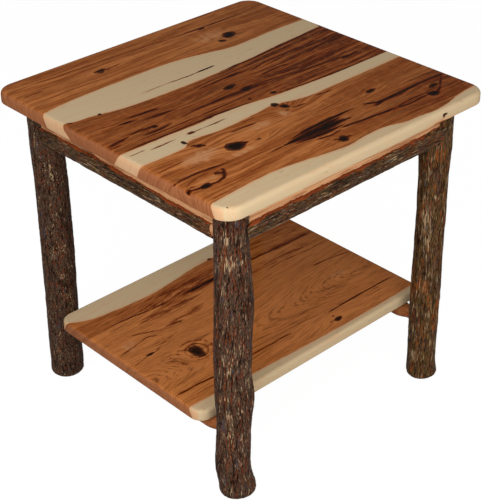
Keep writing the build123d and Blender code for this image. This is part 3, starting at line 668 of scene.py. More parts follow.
def flat_face(ring, glue_lines, step_x, step_y):
    """Triangulate the inside of a ring, with a grid of points and the glue lines in it."""
    ring = np.array(ring)
    low, high = ring.min(0), ring.max(0)
    xs = np.linspace(low[0], high[0], max(3, round((high[0] - low[0]) / step_x)))[1:-1]
    rows = [np.linspace(a, b, max(2, round((b - a) / step_y)) + 1)[:-1]
            for a, b in zip([low[1], *glue_lines], [*glue_lines, high[1]])]
    ys = np.concatenate(rows)[1:]
    grid = np.array([(x, y) for y in ys for x in xs])
    corner = [(sx, sy) for sx in (low[0], high[0]) for sy in (low[1], high[1])]
    keep = np.ones(len(grid), bool)
    near = 0.8 * min(step_x, step_y)
    for cx, cy in corner:
        box = (abs(grid[:, 0] - cx) < 40 * MM) & (abs(grid[:, 1] - cy) < 40 * MM)
        for index in np.flatnonzero(box):
            keep[index] = inside(ring, grid[index], near)
    grid = grid[keep]
    places = [Vector(p) for p in ring] + [Vector(p) for p in grid]
    count = len(ring)
    edges = [(i, (i + 1) % count) for i in range(count)]
    for line in glue_lines:
        on_ring = [i for i in range(count) if abs(ring[i][1] - line) < 1e-7]
        on_grid = [count + i for i in np.flatnonzero(abs(grid[:, 1] - line) < 1e-7)]
        run = sorted(on_ring + on_grid, key=lambda i: places[i][0])
        edges += list(zip(run, run[1:]))
    verts, _, faces, _, _, _ = delaunay_2d_cdt(places, edges, [], 1, 1e-8)
    return verts, faces


def inside(ring, place, margin):
    """True if a place lies inside a convex ring by more than margin."""
    a, b = ring, np.roll(ring, -1, axis=0)
    run = b - a
    cross = run[:, 0] * (place[1] - a[:, 1]) - run[:, 1] * (place[0] - a[:, 0])
    return bool(np.all(cross > margin * np.hypot(run[:, 0], run[:, 1])))


# Steps along and across the grain between the points of a panel's upper and lower face. The
# upper ones are fine enough to carry the figure.
FINE_STEPS, COARSE_STEPS = (4.2 * MM, 1.3 * MM), (16 * MM, 8 * MM)
CORNER_STEPS, ROUND_STEPS, UNDER_STEPS = 12, 7, 3    # round a corner, over and under an edge
SIDE_X_POINTS, SIDE_Y_POINTS = 92, 60


def panel_shape(low, high, glue_lines, corner, over, under):
    """The points and faces of a whole panel: rings down its sides, whose edges are rounded
    by over and under, and a flat face above and below."""
    side_xs = np.linspace(low[0] + corner, high[0] - corner, SIDE_X_POINTS)[1:-1].tolist()
    side_ys = np.linspace(low[1] + corner, high[1] - corner, SIDE_Y_POINTS)[1:-1].round(6)
    side_ys = sorted([y for y in side_ys.tolist()
                      if min(abs(y - line) for line in glue_lines) > 2 * MM] + glue_lines)
    quarter = np.linspace(0, math.pi / 2, ROUND_STEPS + 1)
    levels = [(over * (1 - math.sin(a)), high[2] - over * (1 - math.cos(a))) for a in quarter]
    quarter = np.linspace(0, math.pi / 2, UNDER_STEPS + 1)
    levels += [(under * (1 - math.cos(a)), low[2] + under * (1 - math.sin(a)))
               for a in quarter]
    centre = (low + high) / 2
    rings = [[(x + centre[0], y + centre[1]) for x, y in
              ring_points(high - centre, corner, inset, [y - centre[1] for y in side_ys],
                          [x - centre[0] for x in side_xs], CORNER_STEPS)]
             for inset, _ in levels]
    verts = [(x, y, z) for ring, (_, z) in zip(rings, levels) for x, y in ring]
    faces = tube_faces(len(levels), len(rings[0]))[:-2]
    for level, steps in ((0, FINE_STEPS), (-1, COARSE_STEPS)):
        flat_verts, flat_faces = flat_face(rings[level], glue_lines, *steps)
        faces += [tuple(len(verts) + i for i in (face if level == 0 else face[::-1]))
                  for face in flat_faces]
        verts += [(v[0], v[1], levels[level][1]) for v in flat_verts]
    return verts, faces


def plank_panel(figure, corner, edge_round, settings, material):
    """Build a glued panel as one shape, then part it at its glue lines into one closed
    piece for each board, whose knots and checks lie a little below its face."""
    nodes = list(figure)
    low, high = union_box(nodes)
    glue_lines = [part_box(node)[1][1] for node in nodes[:-1]]
    verts, faces = panel_shape(low, high, glue_lines, corner, edge_round, settings.under_round)
    ys = np.array(verts)[:, 1]
    face_y = np.array([ys[list(face)].mean() for face in faces])
    for node, y0, y1 in zip(nodes, [low[1], *glue_lines], [*glue_lines, high[1]]):
        own = [faces[i] for i in np.flatnonzero((face_y > y0) & (face_y < y1))]
        used = sorted({i for face in own for i in face})
        number = {v: i for i, v in enumerate(used)}
        mesh = solid_mesh(node + "_plank", [verts[i] for i in used],
                          [tuple(number[i] for i in face) for face in own], merge=0.02 * MM)
        places = vertex_places(mesh)
        marks = board_figure(figure[node], places, (y0 + y1) / 2, high[2],
                             high[0] - edge_round)
        from_glue = np.minimum(np.abs(places[:, 1] - y0), np.abs(places[:, 1] - y1))
        free = (places[:, 2] > high[2] - 0.01 * MM) & (from_glue > 0.5 * MM)
        sink = (settings.knot_sink * np.clip(marks["knot"], 0, 1)
                + settings.check_depth * marks["crack"])
        places[free, 2] -= sink[free]
        mesh.vertices.foreach_set("co", places.astype(np.float32).ravel())
        set_attributes(mesh, marks)
        mesh.set_sharp_from_angle(angle=math.radians(50))
        mesh.materials.append(material)
        finished(linked(node + "_plank", mesh), node)


# ---------------------------------------------------------------- bark

def new_group(name, **inputs):
    """A geometry node group with named inputs, each (default, subtype), and the outputs of
    its entry."""
    tree = bpy.data.node_groups.new(name, "GeometryNodeTree")
    for way in ("INPUT", "OUTPUT"):
        tree.interface.new_socket("Geometry", in_out=way, socket_type="NodeSocketGeometry")
    for key, (default, subtype) in inputs.items():
        socket = tree.interface.new_socket(key.replace("_", " "), in_out="INPUT",
                                           socket_type="NodeSocketFloat")
        socket.subtype = subtype
        socket.default_value = default
    return tree, add(tree, "NodeGroupInput").node.outputs


def close_group(tree, shape, material):
    """End a group with plain geometry in one material."""
    shape = add(tree, "GeometryNodeRealizeInstances", {"Geometry": shape})
    shape = add(tree, "GeometryNodeSetMaterial", {"Geometry": shape, "Material": material})
    add(tree, "NodeGroupOutput", {"Geometry": shape})
    return tree


def bark_nodes(settings, material):
    """Geometry nodes that raise bark on a smooth pole.

    The mesh brings the attributes bark, a place whose X runs along the pole, and cover,
    the share of the bark's depth. Furrows follow the level lines of drawn-out noise, so
    they part and join again round long ridges."""
    tree, entry = new_group(
        "hickory_bark", Ridge_width=(settings.plate_width, "DISTANCE"),
        Ridge_length=(settings.plate_length, "DISTANCE"),
        Furrow_depth=(settings.furrow_depth, "DISTANCE"), Shagginess=(0.42, "NONE"),
        Seed=(0.0, "NONE"))
    place = add(tree, "GeometryNodeInputNamedAttribute", {"Name": "bark"}, "Attribute",
                data_type="FLOAT_VECTOR")
    cover = add(tree, "GeometryNodeInputNamedAttribute", {"Name": "cover"}, "Attribute",
                data_type="FLOAT")
    place = add(tree, VECTOR, {0: place, 1: entry["Seed"]}, operation="ADD")
    size = add(tree, "ShaderNodeCombineXYZ",
               {"X": entry["Ridge length"], "Y": entry["Ridge width"],
                "Z": entry["Ridge width"]})
    cell = add(tree, VECTOR, {0: place, 1: size}, operation="DIVIDE")
    splinters = add(tree, NOISE, {"Vector": cell, "Scale": 2.7, "Detail": 3.0,
                                  "Roughness": 0.68})
    height = add(tree, MATHS, {0: splinters, 1: entry["Shagginess"]}, operation="MULTIPLY")
    for scale, share in ((0.62, 0.46), (1.45, 0.32)):
        field = add(tree, NOISE, {"Vector": cell, "Scale": scale, "Detail": 1.6})
        off = add(tree, MATHS, {0: field, 1: 0.5}, operation="SUBTRACT")
        off = add(tree, MATHS, {0: off}, operation="ABSOLUTE")
        raised = add(tree, RANGE, {"Value": off, "From Max": 0.085, "To Max": share},
                     interpolation_type="SMOOTHSTEP")
        height = add(tree, MATHS, {0: height, 1: raised}, operation="ADD")
    lift = add(tree, MATHS, {0: height, 1: 0.84}, operation="SUBTRACT")
    lift = add(tree, MATHS, {0: lift, 1: entry["Furrow depth"]}, operation="MULTIPLY")
    lumps = add(tree, NOISE, {"Vector": place, "Scale": 34.0, "Detail": 1.0})
    lumps = add(tree, MATHS, {0: lumps, 1: 2.0 * MM, 2: -1.05 * MM}, operation="MULTIPLY_ADD")
    lift = add(tree, MATHS, {0: lift, 1: lumps}, operation="ADD")
    lift = add(tree, MATHS, {0: lift, 1: cover}, operation="MULTIPLY")
    outward = add(tree, "GeometryNodeInputNormal", out="Normal")
    offset = add(tree, VECTOR, {0: outward, "Scale": lift}, operation="SCALE")
    shape = add(tree, "GeometryNodeSetPosition",
                {"Geometry": entry["Geometry"], "Offset": offset})
    shape = add(tree, "GeometryNodeStoreNamedAttribute",
                {"Geometry": shape, "Name": "ridge", "Value": height},
                data_type="FLOAT", domain="POINT")
    return close_group(tree, shape, material)


def run_nodes(piece, tree, **values):
    """Run a geometry node group on a piece and keep its result as a plain mesh."""
    modifier = piece.modifiers.new("nodes", "NODES")
    modifier.node_group = tree
    for item in tree.interface.items_tree:
        key = item.name.lower().replace(" ", "_")
        if item.item_type == "SOCKET" and item.in_out == "INPUT" and key in values:
            modifier[item.identifier] = values[key]
    piece.update_tag()
    settle(piece)


# How a trunk's bark looks: a seed, the length and width of its ridges, how deep the furrows
# are, the length and width of its flecks, how pale, red, orange and olive it is, from 0 to 1,
# and patches by kind, each (height, bearing, half height, half width, strength). The
# darkening patches are dark knots and painted shade: the shaded side of a leg, and its head
# under the top.
BarkLook = namedtuple("BarkLook", "seed ridge depth fleck pale red orange olive patches",
                      defaults=({},))

BARK_LOOKS = {
    "front_left_leg": BarkLook(3.1, (44, 4.5), 1.9, (12, 1.6), 0.55, 0.72, 0.08, 0.0, {
        "flecked": ((528, -56, 10, 6, 0.75), (484, -66, 11, 8, 0.7), (490, -36, 10, 10, 0.8),
                    (490, -6, 9, 8, 0.7), (292, -78, 20, 5, 0.8), (258, -50, 12, 6, 0.5),
                    (312, -30, 15, 5, 0.6), (240, 0, 18, 7, 0.8), (194, -28, 10, 5, 0.8),
                    (184, -60, 10, 5, 0.9), (26, -56, 8, 6, 0.6)),
        "peeled": ((372, -46, 9, 6, 0.8), (520, -52, 6, 4, 0.5), (330, -36, 10, 5, 0.4)),
        # Darkening patches: a dark knot, and painted shade on the leg's shaded side and under the
        # top.
        "shaded": ((402, 0, 20, 12, 1.0), (452, -14, 16, 12, 0.7), (225, 5, 14, 10, 0.6),
                   (560, -30, 12, 26, 0.4))}),
    "rear_left_leg": BarkLook(7.4, (24, 4.0), 1.2, (5, 1.7), 0.30, 0.30, 0.05, 0.0, {
        "flecked": ((470, -30, 14, 4, 1.0), (456, -29, 8, 4, 0.9), (440, -8, 12, 4, 0.9),
                    (180, -8, 60, 7, 0.4), (300, 0, 60, 7, 0.3)),
        # Darkening patches: painted shade down the leg's shaded side, and a dark knot.
        "shaded": ((300, 20, 330, 13, 0.6), (240, -50, 9, 6, 0.9), (90, 0, 60, 20, 0.5))}),
    "front_right_leg": BarkLook(12.7, (60, 4.0), 1.5, (20, 1.6), 0.55, 0.36, 0.42, 0.80, {
        "flecked": ((348, -68, 34, 7, 1.0), (58, -92, 16, 7, 1.0), (60, -62, 12, 5, 0.9),
                    (162, -26, 14, 9, 1.0), (92, -16, 12, 8, 0.9), (116, -90, 16, 7, 0.9),
                    (456, -60, 12, 7, 0.6), (186, -86, 30, 6, 0.6)),
        "peeled": ((432, -42, 22, 4, 0.9), (274, -52, 20, 4, 0.8), (176, -22, 6, 10, 0.9),
                   (86, -40, 14, 4, 0.9), (22, -84, 12, 8, 1.0), (8, -46, 6, 20, 0.9),
                   (482, -40, 10, 4, 0.6), (240, -48, 16, 4, 0.5)),
        # Darkening patches: painted shade on the leg's shaded sides.
        "shaded": ((440, -80, 40, 10, 0.6), (200, 10, 120, 8, 0.5), (70, -38, 10, 10, 0.4))}),
    "rear_right_leg": BarkLook(17.9, (34, 4.2), 1.6, (9, 2.1), 0.50, 0.60, 0.22, 0.3),
    "rail": BarkLook(0.0, (70, 3.5), 1.5, (17, 1.7), 0.66, 0.55, 0.22, 0.6),
}


def hickory_bark(name, settings, look):
    """Young hickory bark under a thin coat of lacquer: grey-brown ridges, near-black
    furrows, red-brown streaks between them, tan flecks where a ridge broke off, and
    orange inner bark in patches. The furrows' near-black is partly their own colour and
    partly painted shade, and darker patches paint dark knots and the shade on a leg's
    shaded side. It has almost no sheen."""
    material, tree, shader = principled(name, Roughness=0.6, Specular_IOR_Level=0.03)
    place = add(tree, ATTRIBUTE, out="Vector", attribute_name="bark")
    ridge, lip, flecked, peeled, shaded = (
        add(tree, ATTRIBUTE, out="Fac", attribute_name=name)
        for name in ("ridge", "lip", "flecked", "peeled", "shaded"))
    furrow_and_shade, grey, red, tan, inner, olive, lichen, edge = (
        rgba(getattr(settings, name)) for name in (
            "furrow_and_shade", "ridge", "red_brown", "fleck", "inner_bark", "olive", "lichen", "lip"))
    long, wide = look.fleck
    zones = grown(tree, place, 85, 22)
    streaks = grown(tree, place, long * 2.4, wide * 1.3, detail=3.0)
    flecks = grown(tree, place, long, wide, detail=2.0)
    grit = grown(tree, place, long * 0.5, wide * 0.75, detail=2.0)
    mould = grown(tree, place, 30, 10)

    # Ridges grey, lows near-black: the furrows' dark is partly their own colour and partly
    # painted shade.
    colour = stained(tree, furrow_and_shade, grey, ridge, 0.25, 0.85)
    colour = layered(
        tree, colour,
        (olive, mould, 0.58 - 0.38 * look.olive, 0.62, look.olive),
        (red, streaks, 0.60 - 0.12 * look.red, 0.63, 0.9), (furrow_and_shade, grit, 0.51, 0.42, 0.85),
        # The furrow colour again where the ridges are low, partly painted shade, and on the
        # darkening patches: dark knots and painted shade.
        (furrow_and_shade, ridge, 0.52, 0.32, 0.7), (furrow_and_shade, shaded, 0.1, 1.0, 0.65))
    bare = add(tree, MATHS, {0: zones, 1: streaks}, operation="ADD")
    colour = stained(tree, colour, inner, bare, 1.17 - 0.15 * look.orange, 1.22,
                     min(0.9, 1.5 * look.orange))
    peeled = add(tree, MATHS, {0: peeled, 1: 0.45, 2: streaks}, operation="MULTIPLY_ADD")
    colour = stained(tree, colour, inner, peeled, 0.80, 1.00, 0.60)
    high = add(tree, MATHS, {0: ridge, 1: 0.20, 2: flecks}, operation="MULTIPLY_ADD")
    groups = grown(tree, place, 26, 12, detail=1.0)
    high = add(tree, MATHS, {0: groups, 1: 0.4, 2: high}, operation="MULTIPLY_ADD")
    high = add(tree, MATHS, {0: flecked, 1: 0.15, 2: high}, operation="MULTIPLY_ADD")
    colour = layered(
        tree, colour,
        (tan, high, 1.04 - 0.12 * look.pale, 1.10, 0.75),
        (lichen, mould, 0.62, 0.72, 0.5), (inner, grit, 0.60, 0.70, 0.30))
    cut = add(tree, MATHS, {0: streaks, 1: 2.4, 2: -1.3}, operation="MULTIPLY_ADD")
    cut = add(tree, MATHS, {0: lip, 1: cut}, operation="ADD")
    colour = stained(tree, colour, edge, cut, 0.35, 0.75, 0.9)
    crumbs = grown(tree, place, 4, 1.5, detail=3.0, rough=0.7)
    return surface(material, tree, shader, colour, crumbs, 0.55, 0.6 * MM)


LEG_AROUND, LEG_RING_GAP, LEG_ROUGH_RADIUS = 156, 1.7 * MM, 29
FOOT_RINGS = (0.02, 0.25, 0.8, 1.7, 2.9, 4.4, 6.2)    # close together, where the bark starts
MORTISE_DEPTH = 6 * MM    # anything that much inside the leg's usual radius is a hole


def pole_mesh(name, node):
    """A clean pole of rings that follows a CAD leg's outer surface, with closed ends."""
    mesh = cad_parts[node].data
    tree = BVHTree.FromPolygons([v.co for v in mesh.vertices],
                                [tuple(p.vertices) for p in mesh.polygons])
    top_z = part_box(node)[1][2]
    near_top = [v.co for v in mesh.vertices if v.co.z > top_z - 0.1 * MM]
    axis = Vector([(min(v[i] for v in near_top) + max(v[i] for v in near_top)) / 2
                   for i in (0, 1)] + [0])
    levels = [z * MM for z in FOOT_RINGS]
    levels += list(np.arange(8 * MM, top_z - LEG_RING_GAP / 2, LEG_RING_GAP))
    levels.append(top_z - 0.02 * MM)
    turns = [2 * math.pi * step / LEG_AROUND for step in range(LEG_AROUND)]
    verts = []
    for z in levels:
        reach = []
        for turn in turns:
            out = Vector((math.cos(turn), math.sin(turn), 0))
            hit = tree.ray_cast(axis + out * 0.07 + Vector((0, 0, z)), -out)[0]
            reach.append((hit - axis).xy.length if hit else 0.0)
        reach = np.array(reach)
        usual = np.median(reach)
        reach[reach < usual - MORTISE_DEPTH] = usual
        verts += [(axis.x + r * math.cos(turn), axis.y + r * math.sin(turn), z)
                  for r, turn in zip(reach, turns)]
    return solid_mesh(name, verts, tube_faces(len(levels), LEG_AROUND))


def patch_fields(places, patches_by_kind):
    """The strength of each kind of patch at each place (metres) on a leg."""
    height = places[:, 2]
    head = places[height > height.max() - 1 * MM]
    middle = (head.min(0) + head.max(0)) / 2
    round_leg = np.arctan2(places[:, 0] - middle[0], middle[1] - places[:, 1])
    fields = {}
    for kind, patches in patches_by_kind.items():
        fields[kind] = np.zeros(len(places))
        for up, turn, tall, wide, strength in patches:
            apart = (round_leg - math.radians(turn) + math.pi) % (2 * math.pi) - math.pi
            away = ((height / MM - up) / tall) ** 2 + (apart * LEG_ROUGH_RADIUS / wide) ** 2
            fields[kind] = np.maximum(fields[kind], strength * np.exp(-away))
    return fields


def raise_bark(piece, tree, look, seed):
    """Run the bark's nodes on a piece, with one trunk's sizes."""
    run_nodes(piece, tree, seed=seed, ridge_length=look.ridge[0] * MM,
              ridge_width=look.ridge[1] * MM, furrow_depth=look.depth * MM)


def leg_piece(node, settings):
    """One bark-covered leg that replaces its CAD node."""
    look = BARK_LOOKS[node]
    tree = bark_nodes(settings, hickory_bark(node + "_bark", settings, look))
    mesh = pole_mesh(node + "_bark", node)
    places = vertex_places(mesh)
    height = places[:, 2]
    foot = np.clip(height / (5 * MM), 0, 1)
    head = np.clip((height.max() - height) / (1 * MM), 0, 1)
    set_attributes(mesh, {"bark": places[:, [2, 0, 1]], "cover": np.minimum(foot, head)})
    set_attributes(mesh, patch_fields(places, look.patches))
    piece = linked(node + "_bark", mesh)
    raise_bark(piece, tree, look, look.seed)
    finished(piece, node)


# ---------------------------------------------------------------- rails, stretchers, screws

LEG_X, LEG_Y, SHELF_UNDER = 245, 243, 142.5
RAIL_BOTTOM, RAIL_FACE, RAIL_SLOPE = 513, 22, 9
BARK_PROUD, BARK_LIP, BARK_GAP = 6.3, 5.0, 1.0
BITE_RADIUS, BITE_BACK = 12.5, 14.0
BEAM_PARED, BEAM_EDGE_LIFT, BEAM_EDGE_BACK = 0.6, 1.8, 1.2    # so that the bark covers it
RAIL_SECTIONS, BARK_STEPS, BACK_STEPS = 280, 46, 5
BARK_WAVES = ((61, 0.8), (27, 0.6), (13, 0.45), (7, 0.35))    # length and height, in mm
JOINT_RADIUS = {(-1, -1): 28.52, (-1, 1): 30.69, (1, -1): 29.76, (1, 1): 29.45}
STRETCHER_RADIUS, TENON_RADIUS, STRETCHER_Z = 17.0, 11.1, 126.0
TAPER_END, TAPER_LENGTH, POLE_TIP = 208.5, 27.0, 245.0
BORE_RADIUS, BORE_DEPTH = 4.6, 10.0

# A rail: which way it faces, its start and end leg, its tenons' height above its lower edge,
# the bark's upper edge along its run, how far its red-brown cut edge reaches at the start and
# at the end, and a seed.
RailShape = namedtuple("RailShape", "outward start end tenon_rise bark_line cut_edge seed")

RAIL_SHAPES = {
    "front_rail": RailShape((0, -1, 0), (1, -1), (-1, -1), 54,
                            (39.8, 36.8, 36.8, 36.0, 34.5), (6, 9), 4),
    "left_rail": RailShape((-1, 0, 0), (-1, -1), (-1, 1), 20,
                           (30.8, 31.5, 34.5, 36.0, 35.2), (8, 6), 9),
    "rear_rail": RailShape((0, 1, 0), (-1, 1), (1, 1), 54,
                           (33.8, 36.8, 38.2, 36.0, 36.8), (6, 7), 14),
    "right_rail": RailShape((1, 0, 0), (1, 1), (1, -1), 20,
                            (37.5, 36.8, 35.2, 39.0, 36.0), (7, 6), 21),
}


def rail_frame(shape):
    """A rail's start, the ways along its run and outwards, and the run's length, in mm."""
    outward = Vector(shape.outward)
    start, end = (Vector((x * LEG_X, y * LEG_Y, 0)) for x, y in (shape.start, shape.end))
    return start, outward.cross(Vector((0, 0, 1))), outward, (end - start).length


def rail_beam(node, shape, material):
    """The sawn beam: a copy of the CAD rail with the bark pared back flush, so that a
    shell of bark can lie on it."""
    start, along, outward, _ = rail_frame(shape)
    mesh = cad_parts[node].data.copy()
    mesh.name = node + "_sawn"
    bm = bmesh.new()
    bm.from_mesh(mesh)
    bmesh.ops.remove_doubles(bm, verts=bm.verts, dist=0.002 * MM)
    origin = start * MM
    for vert in bm.verts:
        out = (vert.co - origin).dot(outward)
        if out > (RAIL_FACE + 0.05) * MM:
            vert.co -= outward * (out - (RAIL_FACE - BEAM_PARED) * MM)
        if out > (RAIL_FACE - RAIL_SLOPE - 1) * MM and vert.co.z < (RAIL_BOTTOM + 9) * MM:
            vert.co += Vector((0, 0, BEAM_EDGE_LIFT * MM)) - outward * BEAM_EDGE_BACK * MM
    bm.to_mesh(mesh)
    bm.free()
    mesh.materials.clear()
    mesh.materials.append(material)
    places = vertex_places(mesh) / MM
    local = places - np.array(start)
    run, out = local @ np.array(along), local @ np.array(outward)
    grain = np.column_stack((run + 700 * shape.seed, out, places[:, 2])) * MM
    set_attributes(mesh, {"grain": grain})
    mesh.shade_smooth()
    mesh.set_sharp_from_angle(angle=math.radians(25))
    finished(linked(node + "_sawn", mesh), node)


def bark_section(edge, swing):
    """One section through the bark on a rail: the outs and heights, in mm, of a closed
    outline, and the length of its outer side. edge is the height of the bark's edge, and
    swing is how far its belly bulges there."""
    outs, heights = np.array((
        (RAIL_FACE - 2.5, edge - 0.2), (RAIL_FACE + 2.5, edge + 0.1),
        (RAIL_FACE + BARK_LIP, edge - 0.6), (RAIL_FACE + BARK_PROUD + swing, edge * 0.67),
        (RAIL_FACE + BARK_PROUD * 0.7 + swing, edge * 0.3),
        (RAIL_FACE - RAIL_SLOPE * 0.45, 0.6), (RAIL_FACE - RAIL_SLOPE, -0.8))).T
    reach = np.concatenate(([0], np.cumsum(np.hypot(np.diff(outs), np.diff(heights)))))
    at = np.linspace(0, reach[-1], BARK_STEPS)
    ledge = at < reach[2]    # the cut edge keeps its corners
    back = np.linspace(0, 1, BACK_STEPS + 2)[1:-1]
    behind = (RAIL_FACE - RAIL_SLOPE + back * (RAIL_SLOPE - 4), 3 + back * (edge - 6))
    section = [np.concatenate((
        np.where(ledge, np.interp(at, reach, corners),
                 line_at(np.column_stack((reach, corners)), at)), rear))
        for corners, rear in zip((outs, heights), behind)]
    return np.column_stack(section), reach[-1]


def rail_bark(node, shape, tree):
    """The bark left on a rail's outer, lower side, as a closed shell with a ragged edge."""
    start, along, outward, length = rail_frame(shape)
    rng = np.random.default_rng(shape.seed)
    runs = np.linspace(0, 1, RAIL_SECTIONS)
    edge_points = list(zip(np.linspace(0, length, len(shape.bark_line)), shape.bark_line))
    wobble = [(rng.uniform(0, 6.3), wave, size) for wave, size in BARK_WAVES]
    joint = [JOINT_RADIUS[end] + BARK_GAP for end in (shape.start, shape.end)]
    rings = []
    for t in runs:
        u = t * length
        edge = float(line_at(edge_points, np.array([u]))[0])
        edge += sum(size * math.sin(u / wave * 6.28 + phase) for phase, wave, size in wobble)
        ring, outer_length = bark_section(edge, 0.5 * math.cos(8 * t))
        rings.append(ring)
    rings = np.array(rings)
    outs, heights = rings[..., 0], rings[..., 1]
    first = np.sqrt(np.maximum(joint[0] ** 2 - outs ** 2, 1.0))
    last = length - np.sqrt(np.maximum(joint[1] ** 2 - outs ** 2, 1.0))
    run = first + runs[:, None] * (last - first)
    for centre in (BITE_BACK, length - BITE_BACK):
        away = np.hypot(run - centre, heights - shape.tenon_rise)
        bitten = (away < BITE_RADIUS) & (outs > RAIL_FACE - 2)
        outs = np.where(bitten, RAIL_FACE - 2, outs)
    base, go, face = np.array(start), np.array(along), np.array(outward)
    places = base + run[..., None] * go + outs[..., None] * face
    places[..., 2] = RAIL_BOTTOM + heights
    count_u, count_v = outs.shape
    mesh = solid_mesh(node + "_bark", (places.reshape(-1, 3) * MM).tolist(),
                      tube_faces(count_u, count_v))
    steps = np.arange(count_v)
    cover = np.clip(np.minimum(steps - 4, BARK_STEPS - 1 - steps) / 3, 0, 1)
    cover = np.where(steps >= BARK_STEPS, 0, cover)
    edge_steps = np.interp(runs, (0, 1), shape.cut_edge) / (outer_length / BARK_STEPS)
    edge_steps += 1.5 * np.sin(runs * 23 + shape.seed) + 1.0 * np.sin(runs * 61)
    lip = np.clip((edge_steps[:, None] + 1.5 - steps) / 2, 0, 1) * (steps < BARK_STEPS)
    set_attributes(mesh, {
        "bark": np.column_stack((run.ravel(), outs.ravel(), heights.ravel())) * MM,
        "cover": np.tile(cover, count_u), "lip": lip.ravel()})
    piece = linked(node + "_bark", mesh)
    raise_bark(piece, tree, BARK_LOOKS["rail"], float(shape.seed))
    finished(piece, node)


SHELF_SCREW_PLACES = (-168, 0, 150)
SHELF_SCREWS = tuple((x * LEG_X, y) for x in (-1, 1) for y in SHELF_SCREW_PLACES)
TOP_SCREWS = (*((x, y) for x in (-150, 150) for y in (-246, 246)),
              *((x, y) for x in (-248, 248) for y in (-140, 140)))
# Height of the head's seat, length and diameter.
TOP_SCREW, SHELF_SCREW = (553, 50, 4.8), (117, 38, 4.2)


def counterbores(side):
    """A cutter for the counterbores of the shelf's screws in one stretcher."""
    bores = bmesh.new()
    bottom = STRETCHER_Z - STRETCHER_RADIUS - 2
    for place in SHELF_SCREW_PLACES:
        centre = Vector((side * LEG_X, place, bottom)) * MM + Vector((0, 0, BORE_DEPTH / 2 * MM))
        bmesh.ops.create_cone(bores, cap_ends=True, segments=32, radius1=BORE_RADIUS * MM,
                              radius2=BORE_RADIUS * MM, depth=BORE_DEPTH * MM,
                              matrix=Matrix.Translation(centre))
    mesh = bpy.data.meshes.new("counterbores")
    bores.to_mesh(mesh)
    bores.free()
    return linked("counterbores", mesh)


def stretcher_piece(node, side, material):
    """A peeled pole: slightly uneven, planed flat under the shelf, tapered to its tenons,
    and counterbored from below for the shelf's screws."""
    phases = np.random.default_rng(5 + side).uniform(0, 6.28, 8)
    around, ys = 64, np.concatenate((np.linspace(-POLE_TIP, -TAPER_END, 10),
                                     np.linspace(-TAPER_END, TAPER_END, 160)[1:-1],
                                     np.linspace(TAPER_END, POLE_TIP, 10)))
    verts = []
    for y in ys:
        t = np.clip((TAPER_END - abs(y)) / TAPER_LENGTH, 0, 1)
        swell = 1.6 * t * (1 - t) ** 2 + 3 * t * t - 2 * t ** 3
        base = min(TENON_RADIUS + (STRETCHER_RADIUS - TENON_RADIUS) * swell, STRETCHER_RADIUS)
        for step in range(around):
            a = 2 * math.pi * step / around
            uneven = (0.30 * (math.sin(y / 21 + 2 * a + phases[0]) - 1)
                      + 0.22 * (math.sin(y / 9 + 3 * a + phases[1]) - 1))
            radius = base + uneven * t
            z = min(STRETCHER_Z + radius * math.sin(a), SHELF_UNDER)
            verts.append((side * LEG_X + radius * math.cos(a), y, z))
    mesh = solid_mesh(node + "_peeled", (np.array(verts) * MM).tolist(),
                      tube_faces(len(ys), around))
    piece, cutter = linked(node + "_peeled", mesh), counterbores(side)
    bores = piece.modifiers.new("counterbores", "BOOLEAN")
    bores.operation, bores.object, bores.solver = "DIFFERENCE", cutter, "EXACT"
    settle(piece)
    bpy.data.meshes.remove(cutter.data)
    mesh = piece.data
    set_attributes(mesh, {"grain": vertex_places(mesh)[:, [1, 0, 2]]})
    mesh.materials.clear()
    mesh.materials.append(material)
    mesh.shade_smooth()
    mesh.set_sharp_from_angle(angle=math.radians(35))
    finished(piece, node)


def screw_mesh(name, length, diameter, pitch):
    """A pan-head wood screw, head down at the origin: threaded, with a square recess."""
    head, shank, around, recess, recess_top = diameter * 0.95, diameter / 2, 24, 1.3, -1.2
    # Radius and height of each ring of the recess and the head, up to the plain neck.
    profile = ((recess, recess_top), (recess, -3.0), (head * 0.62, -3.0), (head * 0.86, -2.5),
               (head, -1.5), (head, -0.35), (head * 0.96, 0.0), (shank * 0.8, 0.0),
               (shank * 0.8, 0.4))
    threads = np.linspace(1.2, length - 0.5, int((length - 2) / pitch * 4))
    turns = [2 * math.pi * step / around for step in range(around)]
    verts = [(0, 0, recess_top)]
    for radius, z in profile:
        for a in turns:
            square = max(abs(math.cos(a)), abs(math.sin(a))) if radius == recess else 1.0
            verts.append((radius * math.cos(a) / square, radius * math.sin(a) / square, z))
    for z in threads:
        taper = min(1.0, (length - z) / 6.0 + 0.06)
        for step, a in enumerate(turns):
            phase = (z / pitch - step / around) % 1.0
            radius = shank * (0.68 + 0.32 * max(0.0, 1 - abs(phase - 0.5) * 4)) * taper
            verts.append((radius * math.cos(a), radius * math.sin(a), z))
    tip = len(verts)
    verts.append((0, 0, length))
    faces = [tuple(i + 1 for i in face)
             for face in tube_faces(len(profile) + len(threads), around)[:-2]]
    for i in range(around):
        j = (i + 1) % around
        faces += [(0, 1 + j, 1 + i), (tip - around + i, tip - around + j, tip)]
    mesh = solid_mesh(name, (np.array(verts) * MM).tolist(), faces)
    mesh.set_sharp_from_angle(angle=math.radians(40))
    return mesh


def screw_nodes(name, screw, material):
    """Geometry nodes that stand one screw on each point, each turned its own way."""
    tree, entry = new_group(name, Turn=(360.0, "NONE"))
    one = add(tree, "GeometryNodeObjectInfo", {"Object": screw}, "Geometry")
    most = add(tree, MATHS, {0: entry["Turn"]}, operation="RADIANS")
    spin = add(tree, "FunctionNodeRandomValue", {2: 0.0, 3: most, "Seed": 3}, 1,
               data_type="FLOAT")
    turned = add(tree, "ShaderNodeCombineXYZ", {"Z": spin})
    stood = add(tree, "GeometryNodeInstanceOnPoints",
                {"Points": entry["Geometry"], "Instance": one, "Rotation": turned})
    return close_group(tree, stood, material)


